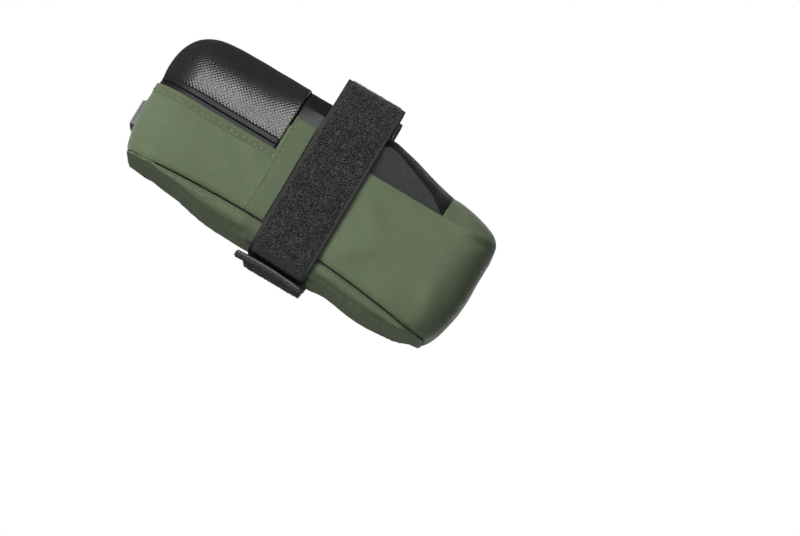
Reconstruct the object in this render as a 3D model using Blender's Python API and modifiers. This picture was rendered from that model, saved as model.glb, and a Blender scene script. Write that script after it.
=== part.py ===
"""Saddle bag: a green fabric box with a black zipped lid, held to a saddle's rails by one strap.

All sizes here are in millimetres and become metres when a mesh is made.
+X is the bag's front, towards the seatpost. +Z is up, away from the bag's base. +Y is its left.
The origin lies midway between the saddle's two rails, on the bag's top, where the rails rest.
"""
import math

import bmesh
import bpy
from mathutils import Matrix, Vector

MM = 0.001
GAP = 0.3

# The bag's outline seen from above: a long box, wider at its rear, with rounded corners.
REAR_X = -85.0
FRONT_X = 79.0
REAR_HALF_WIDTH = 37.0
FRONT_HALF_WIDTH = 30.0
REAR_RADIUS = 15.0
FRONT_RADIUS = 17.0
REAR_SPINE = -57.0
FRONT_SPINE = 51.5

# Heights. The walls stand straight up to WALL_TOP, and the top curves in above it.
WALL_TOP = -28.0
HEM_Z = -33.0
SIDE_TOP = -20.0
REAR_CROWN = 1.0
FRONT_SLOPE = math.tan(math.radians(12.5))
FRONT_SLOPE_START = 18.0

# Fabric layers, and the upright edge by which the bottom panel is sewn to the walls.
PANEL = 1.2
SKIRT = 1.5
TAPE = 0.7
LINING = 0.6
FOAM = 2.0
BAND = 0.8

# The green reinforcement bands and the strap beside them.
BAND_REAR = -25.0
BAND_FRONT = -14.9
STRAP_HALF = 14.2
STRAP = 2.0
STRAP_CLEAR = 0.5
RAIL_Y = 22.0
RAIL_ROOM = 4.8
RAIL_TOP = 10.2

# The lid and its zip.
LID_FRONT = -26.0
LID_AXIS = (-26.0, 0.3)
SLIT_Z = -30.5
COIL_RADIUS = 0.6
COIL_INSET = 2.2
ZIP_END = -28.6

# The slider is parked at the zip's front end, on the left side.
SLIDER_X = -34.0
PULL_LENGTH = 16.0
PIN_OUT = 2.9
PIN_RADIUS = 0.4
PIN_HOLE_RADIUS = 0.7

# The strap's loose end lies under the bag.
TAIL_HINGE_Y = 17.0
TAIL_TOP = -77.3
TAIL_END_Y = -26.0


def clamp(value, low, high):
    return max(low, min(high, value))


def smooth(value, start, end):
    t = clamp((value - start) / (end - start), 0.0, 1.0)
    return t * t * (3.0 - 2.0 * t)


# The collections and the materials

def clear_scene():
    for obj in list(bpy.data.objects):
        bpy.data.objects.remove(obj, do_unlink=True)


def make_collection(name):
    collection = bpy.data.collections.new(name)
    bpy.context.scene.collection.children.link(collection)
    return collection


def make_material(name, color, roughness, metallic=0.0):
    material = bpy.data.materials.new(name)
    material.use_nodes = True
    shader = material.node_tree.nodes["Principled BSDF"]
    shader.inputs["Base Color"].default_value = (*color, 1.0)
    shader.inputs["Roughness"].default_value = roughness
    shader.inputs["Metallic"].default_value = metallic
    material.diffuse_color = (*color, 1.0)
    return material


clear_scene()
PARTS = make_collection("saddle_bag")
CUTTERS = make_collection("cutters")

GREEN = ((0.125, 0.165, 0.095), 0.8)
BLACK_COATED = ((0.022, 0.022, 0.024), 0.4)
ZIP_BLACK = ((0.018, 0.018, 0.020), 0.5)
STRAP_BLACK = ((0.014, 0.014, 0.015), 0.95)
LINING_GREY = ((0.10, 0.10, 0.11), 0.85)
FOAM_GREY = ((0.06, 0.06, 0.065), 0.95)
BOARD_BLACK = ((0.03, 0.03, 0.03), 0.6)
LOOP_GREY = ((0.30, 0.31, 0.30), 0.7)
METAL = ((0.10, 0.10, 0.105), 0.35)


# The shape of the bag's skin

def side_half_width(x):
    """Half the outline's width on its straight, tapering side."""
    start = REAR_X + REAR_RADIUS
    end = FRONT_X - FRONT_RADIUS
    share = (x - start) / (end - start)
    return REAR_HALF_WIDTH + (FRONT_HALF_WIDTH - REAR_HALF_WIDTH) * share


SIDE_ANGLE = math.atan2(side_half_width(0.0) - side_half_width(1.0), 1.0)


def side_run(start, end, steps):
    """Points along the right side from x = start to x = end."""
    points = []
    for i in range(steps + 1):
        x = start + (end - start) * i / max(1, steps)
        points.append((x, -side_half_width(x)))
    return points


def turn(face_x, half_width, radius, steps):
    """Points round one corner on the right, from the side to the middle of the end face."""
    sign = 1.0 if face_x > 0.0 else -1.0
    points = []
    for i in range(1, steps + 1):
        angle = math.pi / 2.0 * i / steps
        x = face_x - sign * radius * (1.0 - math.sin(angle))
        y = -(half_width - radius * (1.0 - math.cos(angle)))
        points.append((x, y))
    points.append((face_x, -(half_width - radius) / 2.0))
    points.append((face_x, 0.0))
    return points


def mirrored(points):
    """The same points on the left side, in the opposite order, without the one on the middle."""
    return [(x, -y) for x, y in reversed(points[:-1])]


def rear_outline(start, steps=3, corner_steps=4):
    """The outline from x = start on the right, round the rear, to x = start on the left."""
    half = side_run(start, REAR_X + REAR_RADIUS, steps)
    half += turn(REAR_X, REAR_HALF_WIDTH, REAR_RADIUS, corner_steps)
    return half + mirrored(half)


def front_outline(start, steps=2, corner_steps=4):
    """The outline from x = start on the right, round the front, to x = start on the left."""
    half = side_run(start, FRONT_X - FRONT_RADIUS, steps)
    half += turn(FRONT_X, FRONT_HALF_WIDTH, FRONT_RADIUS, corner_steps)
    return half + mirrored(half)


def whole_outline():
    """The whole outline, once round, with its first point not repeated."""
    middle = side_run(FRONT_X - FRONT_RADIUS, REAR_X + REAR_RADIUS, 11)
    half = list(reversed(turn(FRONT_X, FRONT_HALF_WIDTH, FRONT_RADIUS, 4)))
    half += middle
    half += turn(REAR_X, REAR_HALF_WIDTH, REAR_RADIUS, 4)
    return half + mirrored(half)[:-1]


def spine(x):
    """The point on the bag's middle line that an outline point closes towards."""
    return clamp(x, REAR_SPINE, FRONT_SPINE)


def inset_point(point, inset):
    """An outline point moved towards the bag's middle line."""
    x, y = point
    away = Vector((x - spine(x), y))
    if away.length < 1e-6:
        return point
    away *= (away.length - inset) / away.length
    return (spine(x) + away.x, away.y)


def wall_point(point, z, inset=0.0):
    """A point on the wall at height z. The walls lean in a little towards the base."""
    lean = clamp((-35.0 - z) / 30.0, 0.0, 1.2) ** 2
    x, y = inset_point(point, inset)
    middle = spine(x)
    reach = 0.15 if x > FRONT_SPINE else 0.09
    return (middle + (x - middle) * (1.0 - reach * lean), y * (1.0 - 0.035 * lean), z)


def seam_z(x):
    """The height of the seam between the walls and the bottom. The strap pulls it up at x = -20."""
    if x < -20.0:
        return -62.5 - 3.4 * ((x + 20.0) / 62.0) ** 2
    return -62.5 - 8.4 * ((x + 20.0) / 90.0) ** 1.6


def bottom_z(x):
    """The bottom's lowest height across the bag at x. Its sag is deepest near the strap."""
    sag = 6.0 * clamp(1.0 - ((x + 12.0) / 76.0) ** 2, 0.0, 1.0)
    return seam_z(x) - 3.3 - sag


def crown_z(x):
    """The height of the top's middle line at x."""
    slope = max(0.0, x - FRONT_SLOPE_START) * FRONT_SLOPE
    return REAR_CROWN * (1.0 - smooth(x, -57.0, -14.0)) - slope


def roundness(x):
    """The exponent of the top's cross-section: high is boxy, low is round."""
    return 2.8 + 1.9 * smooth(x, -45.0, -14.0) - 1.4 * smooth(x, 16.0, FRONT_SPINE)


def cap_point(point, rise, base, peak, power):
    """A point on a cap that closes over the outline from base(x) to peak(x), at rise from 0 to 1."""
    middle = spine(point[0])
    close = max(0.0, 1.0 - rise ** power) ** (1.0 / power)
    x = middle + (point[0] - middle) * close
    return (x, point[1] * close, base(x) + (peak(x) - base(x)) * rise)


def top_point(point, rise, inset=0.0):
    def base(x):
        return WALL_TOP

    def peak(x):
        return crown_z(x) - inset

    return cap_point(inset_point(point, inset), rise, base, peak, roundness(spine(point[0])))


def rises(power, start, steps):
    """Evenly turned steps of rise from a start value up to 1."""
    first = math.asin(clamp(start, 0.0, 1.0) ** (power / 2.0))
    result = []
    for i in range(steps + 1):
        angle = first + (math.pi / 2.0 - first) * i / steps
        result.append(math.sin(angle) ** (2.0 / power))
    result[-1] = 1.0
    return result


# Making objects

def finish_object(name, mesh, look, location=(0.0, 0.0, 0.0), angle=0.0):
    obj = bpy.data.objects.new(name, mesh)
    obj.location = [value * MM for value in location]
    obj.rotation_euler = (0.0, 0.0, angle)
    PARTS.objects.link(obj)
    color, roughness = look[0], look[1]
    mesh.materials.append(make_material(name, color, roughness, 0.9 if look is METAL else 0.0))
    for polygon in mesh.polygons:
        polygon.use_smooth = True
    mesh.set_sharp_from_angle(angle=math.radians(40.0))
    return obj


def grid_mesh(name, rows, origin, closed=False, keep=None, centre=(0.0, 0.0, -35.0)):
    """A mesh from rows of points, facing away from a centre. keep(row, column) may leave cells out."""
    bm = bmesh.new()
    verts = [[bm.verts.new((Vector(p) - Vector(origin)) * MM) for p in row] for row in rows]
    columns = len(rows[0])
    for r in range(len(rows) - 1):
        for c in range(columns if closed else columns - 1):
            if keep and not keep(r, c):
                continue
            n = (c + 1) % columns
            bm.faces.new((verts[r][c], verts[r][n], verts[r + 1][n], verts[r + 1][c]))
    bmesh.ops.remove_doubles(bm, verts=bm.verts, dist=1e-6)
    loose = [v for v in bm.verts if not v.link_faces]
    bmesh.ops.delete(bm, geom=loose, context="VERTS")
    bm.normal_update()
    middle = (Vector(centre) - Vector(origin)) * MM
    outward = sum((f.calc_center_median() - middle).dot(f.normal) * f.calc_area() for f in bm.faces)
    if outward < 0.0:
        bmesh.ops.reverse_faces(bm, faces=bm.faces)
    mesh = bpy.data.meshes.new(name)
    bm.to_mesh(mesh)
    bm.free()
    return mesh


def sheet(name, rows, look, thickness, origin=(0.0, 0.0, 0.0), **options):
    """A sewn panel: a curved surface, thickened towards the bag's inside."""
    mesh = grid_mesh(name, rows, origin, **options)
    obj = finish_object(name, mesh, look, location=origin)
    solidify = obj.modifiers.new("thickness", "SOLIDIFY")
    solidify.thickness = thickness * MM
    solidify.offset = -1.0
    return obj


def box_mesh(name, low, high, bevel=0.0):
    """A box between two corners, in millimetres, with its edges rounded."""
    bm = bmesh.new()
    size = Vector(high) - Vector(low)
    middle = (Vector(high) + Vector(low)) / 2.0
    place = Matrix.Translation(middle * MM) @ Matrix.Diagonal((*size * MM, 1.0))
    bmesh.ops.create_cube(bm, size=1.0, matrix=place)
    if bevel:
        bmesh.ops.bevel(bm, geom=bm.edges[:], offset=bevel * MM, segments=1, affect="EDGES")
    mesh = bpy.data.meshes.new(name)
    bm.to_mesh(mesh)
    bm.free()
    return mesh


def rod_mesh(name, radius, length, middle=(0.0, 0.0, 0.0)):
    """An upright round rod."""
    bm = bmesh.new()
    bmesh.ops.create_cone(bm, cap_ends=True, segments=12, radius1=radius * MM, radius2=radius * MM,
                          depth=length * MM, matrix=Matrix.Translation(Vector(middle) * MM))
    mesh = bpy.data.meshes.new(name)
    bm.to_mesh(mesh)
    bm.free()
    return mesh


def add_boolean(obj, mesh, operation):
    """Join a mesh to an object, or cut it out, with the mesh in the object's own frame."""
    cutter = bpy.data.objects.new(obj.name + "_" + mesh.name, mesh)
    cutter.parent = obj
    cutter.hide_render = True
    cutter.display_type = "WIRE"
    CUTTERS.objects.link(cutter)
    modifier = obj.modifiers.new(mesh.name, "BOOLEAN")
    modifier.operation = operation
    modifier.object = cutter


def tube(name, points, radius, look, cyclic=False, origin=(0.0, 0.0, 0.0)):
    """A round cord of fixed radius along a list of points."""
    curve = bpy.data.curves.new(name, "CURVE")
    curve.dimensions = "3D"
    curve.bevel_depth = radius * MM
    curve.bevel_resolution = 1
    curve.use_fill_caps = True
    spline = curve.splines.new("POLY")
    spline.points.add(len(points) - 1)
    for spline_point, point in zip(spline.points, points):
        spline_point.co = (*((Vector(point) - Vector(origin)) * MM), 1.0)
    spline.use_cyclic_u = cyclic
    obj = bpy.data.objects.new(name, curve)
    obj.location = [value * MM for value in origin]
    PARTS.objects.link(obj)
    curve.materials.append(make_material(name, look[0], look[1]))
    return obj


# The green walls and the bottom

def side_panel(name, mirror):
    """One side wall: up to the hem beside the zip, and higher in front of the zip's end."""
    stations = [REAR_X + REAR_RADIUS + 2.0 * GAP, -55.0, -40.0, BAND_REAR, -14.0, 0.0, 14.0, 26.0, 39.0]
    stations.append(FRONT_SPINE - GAP)
    heights = [0.0, 0.35, 0.7, 1.0]
    rows = []
    for share in heights:
        row = []
        for x in stations:
            low = seam_z(x) + GAP / 2.0
            z = low + (HEM_Z - low) * share
            row.append(wall_point((x, -side_half_width(x)), z))
        rows.append(row)
    rows.append([(x, -side_half_width(x), WALL_TOP) for x in stations])
    for z in ((WALL_TOP + SIDE_TOP) / 2.0, SIDE_TOP):
        row = []
        for x in stations:
            rise = (z - WALL_TOP) / (crown_z(x) - WALL_TOP)
            row.append(top_point((x, -side_half_width(x)), rise))
        rows.append(row)
    rows = [[(x, y * mirror, z) for x, y, z in row] for row in rows]
    band_column = stations.index(BAND_REAR)

    def keep(row, column):
        return row < len(heights) - 1 or column >= band_column

    return sheet(name, rows, GREEN, PANEL, keep=keep)


def rear_panel():
    outline = rear_outline(REAR_X + REAR_RADIUS, steps=0)
    rows = []
    for share in (0.0, 0.35, 0.7, 1.0):
        row = []
        for point in outline:
            low = seam_z(point[0]) + GAP / 2.0
            row.append(wall_point(point, low + (HEM_Z - low) * share))
        rows.append(row)
    return sheet("rear_panel", rows, GREEN, PANEL)


def front_panel():
    """The front wall with the hood that closes over the front of the top."""
    outline = front_outline(FRONT_SPINE)
    rows = []
    for share in (0.0, 0.3, 0.65, 1.0):
        row = []
        for point in outline:
            low = seam_z(point[0]) + GAP / 2.0
            row.append(wall_point(point, low + (WALL_TOP - low) * share))
        rows.append(row)
    for rise in rises(roundness(FRONT_SPINE), 0.0, 6)[1:]:
        rows.append([top_point(point, rise) for point in outline])
    return sheet("front_panel", rows, GREEN, PANEL)


def base_point(point, rise, inset=0.0, edge_lift=-SKIRT, lift=0.0):
    """A point on the bottom, from the foot of its skirt at rise 0 to the middle line at rise 1."""
    x, y, _ = wall_point(point, seam_z(point[0]), inset)
    edge_shift = seam_z(point[0]) - seam_z(x)

    def base(at):
        return seam_z(at) + edge_shift + edge_lift

    def peak(at):
        return bottom_z(at) + lift

    return cap_point((x, y), rise, base, peak, 2.6)


def bottom_panel():
    outline = whole_outline()
    rows = [[base_point(p, 0.0, edge_lift=-GAP / 2.0) for p in outline]]
    rows += [[base_point(p, rise) for p in outline] for rise in rises(2.6, 0.0, 5)]
    return sheet("bottom_panel", rows, GREEN, PANEL, closed=True, centre=(0.0, 0.0, 0.0))


def base_stiffener():
    """A bent plastic board that keeps the base flat, just above the bottom panel."""
    outline = whole_outline()
    rows = []
    for rise in rises(2.6, 0.0, 3):
        rows.append([base_point(p, rise, inset=8.0, edge_lift=3.4, lift=3.0) for p in outline])
    return sheet("base_stiffener", rows, BOARD_BLACK, 1.0, closed=True, centre=(0.0, 0.0, 0.0))


def side_foam(name, mirror):
    rows = []
    for share in (0.0, 0.5, 1.0):
        row = []
        for x in (-66.0, -40.0, -14.0, 14.0, 47.0):
            low = seam_z(x) + 5.0
            z = low + (HEM_Z - 3.0 - low) * share
            px, py, pz = wall_point((x, -side_half_width(x)), z, PANEL + GAP)
            row.append((px, py * mirror, pz))
        rows.append(row)
    return sheet(name, rows, FOAM_GREY, FOAM)


def seam_binding():
    points = [wall_point(p, seam_z(p[0]) + 2.9, 3.6) for p in whole_outline()]
    return tube("bottom_seam_binding", points, 0.8, LINING_GREY, cyclic=True)


def top_panel():
    """The black top between the lid and the green hood, from the left side wall to the right."""
    stations = [LID_FRONT + GAP, -20.0, -14.0, 0.0, 14.0, 20.0, 28.0, 36.0, 44.0, FRONT_SPINE - GAP]
    rows = []
    for x in stations:
        start = (SIDE_TOP + GAP - WALL_TOP) / (crown_z(x) - WALL_TOP)
        half = []
        for rise in rises(roundness(x), start, 6):
            half.append(top_point((x, -side_half_width(x)), rise))
        rows.append(half + [(px, -py, pz) for px, py, pz in reversed(half[:-1])])
    return sheet("top_panel", rows, BLACK_COATED, PANEL)


def reinforcement_band(name, mirror):
    """A green strip sewn over the side wall beside the strap, which closes off the zip's end."""
    rows = []
    for share in (0.0, 0.25, 0.5, 0.75, 1.0):
        row = []
        for x in (BAND_REAR + 0.2, (BAND_REAR + BAND_FRONT) / 2.0, BAND_FRONT):
            low = seam_z(x) + 1.0
            z = low + (WALL_TOP - low) * share
            px, py, pz = wall_point((x, -side_half_width(x)), z, -(GAP + BAND))
            row.append((px, py * mirror, pz))
        rows.append(row)
    rows.append([(x, y + mirror * 0.35, SIDE_TOP + 3.0) for x, y, z in rows[-1]])
    return sheet(name, rows, GREEN, BAND)


def light_loop():
    """A webbing loop across the rear face that a clip light hangs on, with a flat outer face."""
    path = [(-86.2, -20.0), (-86.3, -17.0), (-88.2, -13.0), (-88.2, 0.0)]
    path += [(x, -y) for x, y in reversed(path[:-1])]
    rows = [[(x, y, z) for x, y in path] for z in (-41.0, -53.0)]
    return sheet("rear_light_loop", rows, LOOP_GREY, 0.9)


# The zip and the lid

def zip_tape(name, low, high, origin=(0.0, 0.0, 0.0)):
    outline = rear_outline(LID_FRONT - GAP)
    rows = [[wall_point(p, z, GAP) for p in outline] for z in (low, high)]
    return sheet(name, rows, ZIP_BLACK, TAPE, origin=origin)


def zip_coil(name, z, origin=(0.0, 0.0, 0.0)):
    points = [wall_point(p, z, COIL_INSET) for p in rear_outline(ZIP_END)]
    return tube(name, points, COIL_RADIUS, ZIP_BLACK, origin=origin)


def zip_stop(name, mirror):
    x = LID_FRONT - 1.4
    y = side_half_width(x) - COIL_INSET - 0.1
    mesh = box_mesh(name, (-0.8, -0.8, -1.9), (0.8, 0.8, 1.9), 0.2)
    return finish_object(name, mesh, METAL, (x, y * mirror, SLIT_Z), -SIDE_ANGLE * mirror)


def lid_parts():
    """The lid's own parts. Each has its origin on the fold across the lid's front edge."""
    hinge = (LID_AXIS[0], 0.0, LID_AXIS[1])
    outline = rear_outline(LID_FRONT, steps=5)
    rows = [[top_point(p, rise) for p in outline] for rise in rises(roundness(REAR_SPINE), 0.0, 7)]
    sheet("lid_panel", rows, BLACK_COATED, PANEL, origin=hinge)
    inner = rear_outline(LID_FRONT)
    lining_rows = []
    for rise in rises(roundness(REAR_SPINE), 0.0, 5):
        lining_rows.append([top_point(p, rise, inset=PANEL + 0.6) for p in inner])
    sheet("lid_lining", lining_rows, LINING_GREY, LINING, origin=hinge)
    zip_tape("upper_zip_tape", SLIT_Z + 0.6, WALL_TOP - GAP, origin=hinge)
    zip_coil("upper_zip_coil", SLIT_Z + 0.6 + COIL_RADIUS, origin=hinge)


def zip_slider():
    """The slider: a plate on each side of the tapes, joined by a thin neck that runs in the slit."""
    y = side_half_width(SLIDER_X)
    place = (SLIDER_X, y, SLIT_Z)
    mesh = box_mesh("zip_slider", (-4.2, 0.4, -2.7), (4.2, 1.5, 2.7), 0.3)
    obj = finish_object("zip_slider", mesh, METAL, place, -SIDE_ANGLE)
    add_boolean(obj, box_mesh("inner_plate", (-4.2, -4.4, -2.6), (4.2, -3.3, 2.6), 0.3), "UNION")
    add_boolean(obj, box_mesh("neck", (-1.8, -3.8, -0.25), (1.8, 1.0, 0.25)), "UNION")
    add_boolean(obj, box_mesh("bridge", (-1.7, 1.2, -1.1), (1.7, 4.3, 1.1)), "UNION")
    hole = rod_mesh("pin_hole", PIN_HOLE_RADIUS, 4.0, (0.0, PIN_OUT, 0.0))
    add_boolean(obj, hole, "DIFFERENCE")
    return place


def zip_pull(place):
    """The pull tab: a plate with two ears whose pin turns in the slider's bridge."""
    turned = Matrix.Rotation(-SIDE_ANGLE, 3, "Z")
    pin = Vector(place) + turned @ Vector((0.0, PIN_OUT, 0.0))
    mesh = rod_mesh("zip_pull_tab", PIN_RADIUS, 4.2)
    obj = finish_object("zip_pull_tab", mesh, METAL, tuple(pin), -SIDE_ANGLE)
    for side, low, high in (("lower", -2.3, -1.35), ("upper", 1.35, 2.3)):
        add_boolean(obj, box_mesh(side + "_ear", (-4.0, -0.6, low), (0.7, 0.6, high)), "UNION")
    add_boolean(obj, box_mesh("plate", (-PULL_LENGTH, -0.6, -2.3), (-3.0, 0.6, 2.3)), "UNION")


# The strap

def strap_section(x):
    """The strap's inner face round the bag at x, as (y, z), from the bottom's middle up to the top's."""
    points = []
    shoulder = side_half_width(x)
    for rise in (1.0, 0.95, 0.8, 0.5, 0.2):
        _, y, z = base_point((x, -shoulder), rise, inset=-STRAP_CLEAR)
        points.append((y, z - 2.0 * STRAP_CLEAR))
    for z in (-60.0, -48.0, -38.0):
        _, y, _ = wall_point((x, -shoulder), z, -STRAP_CLEAR)
        points.append((y, z))
    for z in (WALL_TOP, -20.0):
        points.append((-(shoulder + 0.4), z))
    points.append((-(shoulder + 0.1), -13.0))
    points.append((-(shoulder - 0.7), -8.0))
    rail = RAIL_Y + RAIL_ROOM
    points.append((-(rail + 2.2), 1.0))
    points.append((-(rail + 0.6), RAIL_TOP - 1.6))
    points.append((-(rail - 1.6), RAIL_TOP))
    inner = RAIL_Y - RAIL_ROOM
    points.append((-(inner + 1.6), RAIL_TOP))
    points.append((-inner, RAIL_TOP - 1.8))
    points.append((-(inner - 1.2), 2.6))
    points.append((-(inner - 4.0), 0.9))
    points.append((0.0, 0.9))
    return points


def strap():
    """One band of hook-and-loop: over both rails, down the bag's sides and under its base."""
    rows = []
    for x in (-STRAP_HALF, -STRAP_HALF / 3.0, STRAP_HALF / 3.0, STRAP_HALF):
        half = strap_section(x)
        ring = half + [(-y, z) for y, z in reversed(half[1:-1])]
        rows.append([(x, y, z) for y, z in ring])
    obj = sheet("strap", rows, STRAP_BLACK, STRAP, closed=True)
    obj.modifiers["thickness"].offset = 1.0
    obj.modifiers["thickness"].use_even_offset = True
    return obj


def strap_anchor():
    """The patch that holds the strap's middle down on the bag's top, between the rails."""
    mesh = box_mesh("strap_anchor_patch", (-11.0, -10.0, 0.0), (11.0, 10.0, 0.8), 0.2)
    return finish_object("strap_anchor_patch", mesh, STRAP_BLACK, (0.0, 0.0, 3.3))


def tail_parts():
    """The strap's loose end under the bag, with its hooks above and its folded, sewn end."""
    place = (0.0, TAIL_HINGE_Y, TAIL_TOP)
    reach = TAIL_END_Y - TAIL_HINGE_Y
    half = STRAP_HALF - 0.2
    tail = box_mesh("strap_tail", (-half, reach + 6.0, -1.6), (half, -0.4, 0.0), 0.2)
    finish_object("strap_tail", tail, STRAP_BLACK, place)
    hooks = box_mesh("strap_hook_patch", (-half + 1.0, reach + 9.0, 0.3), (half - 1.0, -4.0, 0.9), 0.1)
    finish_object("strap_hook_patch", hooks, STRAP_BLACK, place)
    hem = box_mesh("strap_tail_hem", (-18.3, reach, -3.0), (15.7, reach + 5.7, 0.2), 0.5)
    finish_object("strap_tail_hem", hem, STRAP_BLACK, place)


def build():
    side_panel("right_side_panel", 1.0)
    side_panel("left_side_panel", -1.0)
    rear_panel()
    front_panel()
    bottom_panel()
    top_panel()
    base_stiffener()
    side_foam("right_side_foam", 1.0)
    side_foam("left_side_foam", -1.0)
    seam_binding()
    reinforcement_band("right_reinforcement_band", 1.0)
    reinforcement_band("left_reinforcement_band", -1.0)
    light_loop()
    zip_tape("lower_zip_tape", HEM_Z + GAP, SLIT_Z - 0.6)
    zip_coil("lower_zip_coil", SLIT_Z - 0.6 - COIL_RADIUS)
    zip_stop("right_zip_stop", -1.0)
    zip_stop("left_zip_stop", 1.0)
    lid_parts()
    zip_pull(zip_slider())
    strap()
    strap_anchor()
    tail_parts()


build()
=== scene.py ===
"""The looks of the saddle bag: sewn shells, seams, zip, strap, materials, light and camera.

Sizes are in millimetres unless a name says metres, and MM turns them into metres. Texture
scales are per metre and bump depths in metres. Cloth coordinates run along and across the fabric.
The bag's frame is the CAD's: +X to its front, +Z up, origin on its top between the rails.
"""
import math
import random

import bmesh
import bpy
from mathutils import Matrix, Vector, noise
from mathutils.bvhtree import BVHTree


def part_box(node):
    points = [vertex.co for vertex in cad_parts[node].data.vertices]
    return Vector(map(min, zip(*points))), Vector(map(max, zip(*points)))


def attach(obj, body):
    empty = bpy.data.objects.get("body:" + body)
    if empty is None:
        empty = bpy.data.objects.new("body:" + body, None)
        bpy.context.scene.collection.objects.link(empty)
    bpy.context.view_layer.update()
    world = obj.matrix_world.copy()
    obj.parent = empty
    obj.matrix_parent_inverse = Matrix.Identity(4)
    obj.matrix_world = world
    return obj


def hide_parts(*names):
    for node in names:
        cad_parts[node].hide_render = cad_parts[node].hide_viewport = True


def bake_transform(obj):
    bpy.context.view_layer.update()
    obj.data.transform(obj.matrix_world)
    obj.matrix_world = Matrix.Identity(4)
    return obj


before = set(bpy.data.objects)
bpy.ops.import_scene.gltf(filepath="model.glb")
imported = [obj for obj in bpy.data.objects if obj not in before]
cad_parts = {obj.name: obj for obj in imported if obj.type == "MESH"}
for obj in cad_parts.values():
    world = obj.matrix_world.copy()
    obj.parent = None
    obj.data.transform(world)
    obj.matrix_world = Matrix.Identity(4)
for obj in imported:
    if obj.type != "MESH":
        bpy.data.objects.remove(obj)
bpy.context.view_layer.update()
MM = 0.001

# The outline from above and the heights, as in the CAD. WALL_TOP is where the lid's dome starts,
# HEM_Z the walls' edge under the zip, SIDE_TOP their edge beside the strap and SLIT_Z the zip line.
REAR_X, FRONT_X = -85.0, 79.0
REAR_HALF_WIDTH, FRONT_HALF_WIDTH = 37.0, 30.0
REAR_RADIUS, FRONT_RADIUS = 15.0, 17.0
REAR_SPINE, FRONT_SPINE = -57.0, 51.5
WALL_TOP, HEM_Z, SIDE_TOP = -28.0, -33.0, -20.0
FRONT_SLOPE = math.tan(math.radians(12.5))
LID_FRONT = -25.8
SLIT_Z = -30.5
BAND_REAR, BAND_FRONT = -25.0, -14.6
STRAP_HALF = 14.2
# Where the strap's loose end hinges, under the bag.
TAIL_HINGE_Y = 17.0
# The base's section under the strap is a superellipse of this power.
BASE_POWER = 3.8
STRIP_STEPS, UNDER_STEPS = 9, 17
STITCH_LIFT = 0.28
# The grid spacing of the shells, and the gap each side of the bottom seam.
SPACING = 1.8
SEAM_GAP = 0.1
UP = Vector((0.0, 0.0, 1.0))
TURN = 2.0 * math.pi
UV_PER_MM = 0.1


# Small tools

def clamp(value, low=0.0, high=1.0):
    return max(low, min(high, value))


def smooth(value, start, end):
    t = clamp((value - start) / (end - start))
    return t * t * (3.0 - 2.0 * t)


def mix(a, b, share):
    return a + (b - a) * share


def bell(value, centre, width):
    return math.exp(-((value - centre) / width) ** 2)


def wavy(point, scale, seed=0.0):
    """Smooth noise between about -1 and 1, with features of the given size in millimetres."""
    return noise.noise(Vector(point) / scale + Vector((seed, seed * 1.7, seed * 0.3)))


def link(obj):
    bpy.context.scene.collection.objects.link(obj)
    return obj


def new_object(name, mesh, *materials):
    obj = link(bpy.data.objects.new(name, mesh))
    for look in materials:
        mesh.materials.append(look)
    return obj


def shade_smooth(mesh, quads_only=False):
    for polygon in mesh.polygons:
        polygon.use_smooth = not quads_only or len(polygon.vertices) == 4
    return mesh


def finished_piece(bm, name, *materials, quads_only=False):
    """A smooth-shaded object from an edited mesh."""
    bmesh.ops.recalc_face_normals(bm, faces=bm.faces)
    mesh = bpy.data.meshes.new(name)
    bm.to_mesh(mesh)
    bm.free()
    return new_object(name, shade_smooth(mesh, quads_only), *materials)


def assign(obj, slot, body, *nodes):
    """Says which CAD nodes a piece stands for and the body it moves with; slot, its material slot, is not
    used.

    The body bend is for a piece that runs from the bag into the lid; such a piece is only baked in place,
    with nothing that bends it.
    """
    if nodes:
        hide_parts(*nodes)
    if body == "bend":
        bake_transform(obj)
    else:
        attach(obj, body)


def detail(full, quick):
    return full


def node_box(name):
    """A CAD node's lowest and highest corners, in millimetres."""
    return [Vector(corner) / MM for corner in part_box(name)]


def apply_modifiers(obj):
    """Replaces an object's mesh by its evaluated one."""
    bpy.context.view_layer.update()
    evaluated = obj.evaluated_get(bpy.context.evaluated_depsgraph_get())
    mesh = bpy.data.meshes.new_from_object(evaluated)
    obj.modifiers.clear()
    obj.data = shade_smooth(mesh)
    return obj


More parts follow.
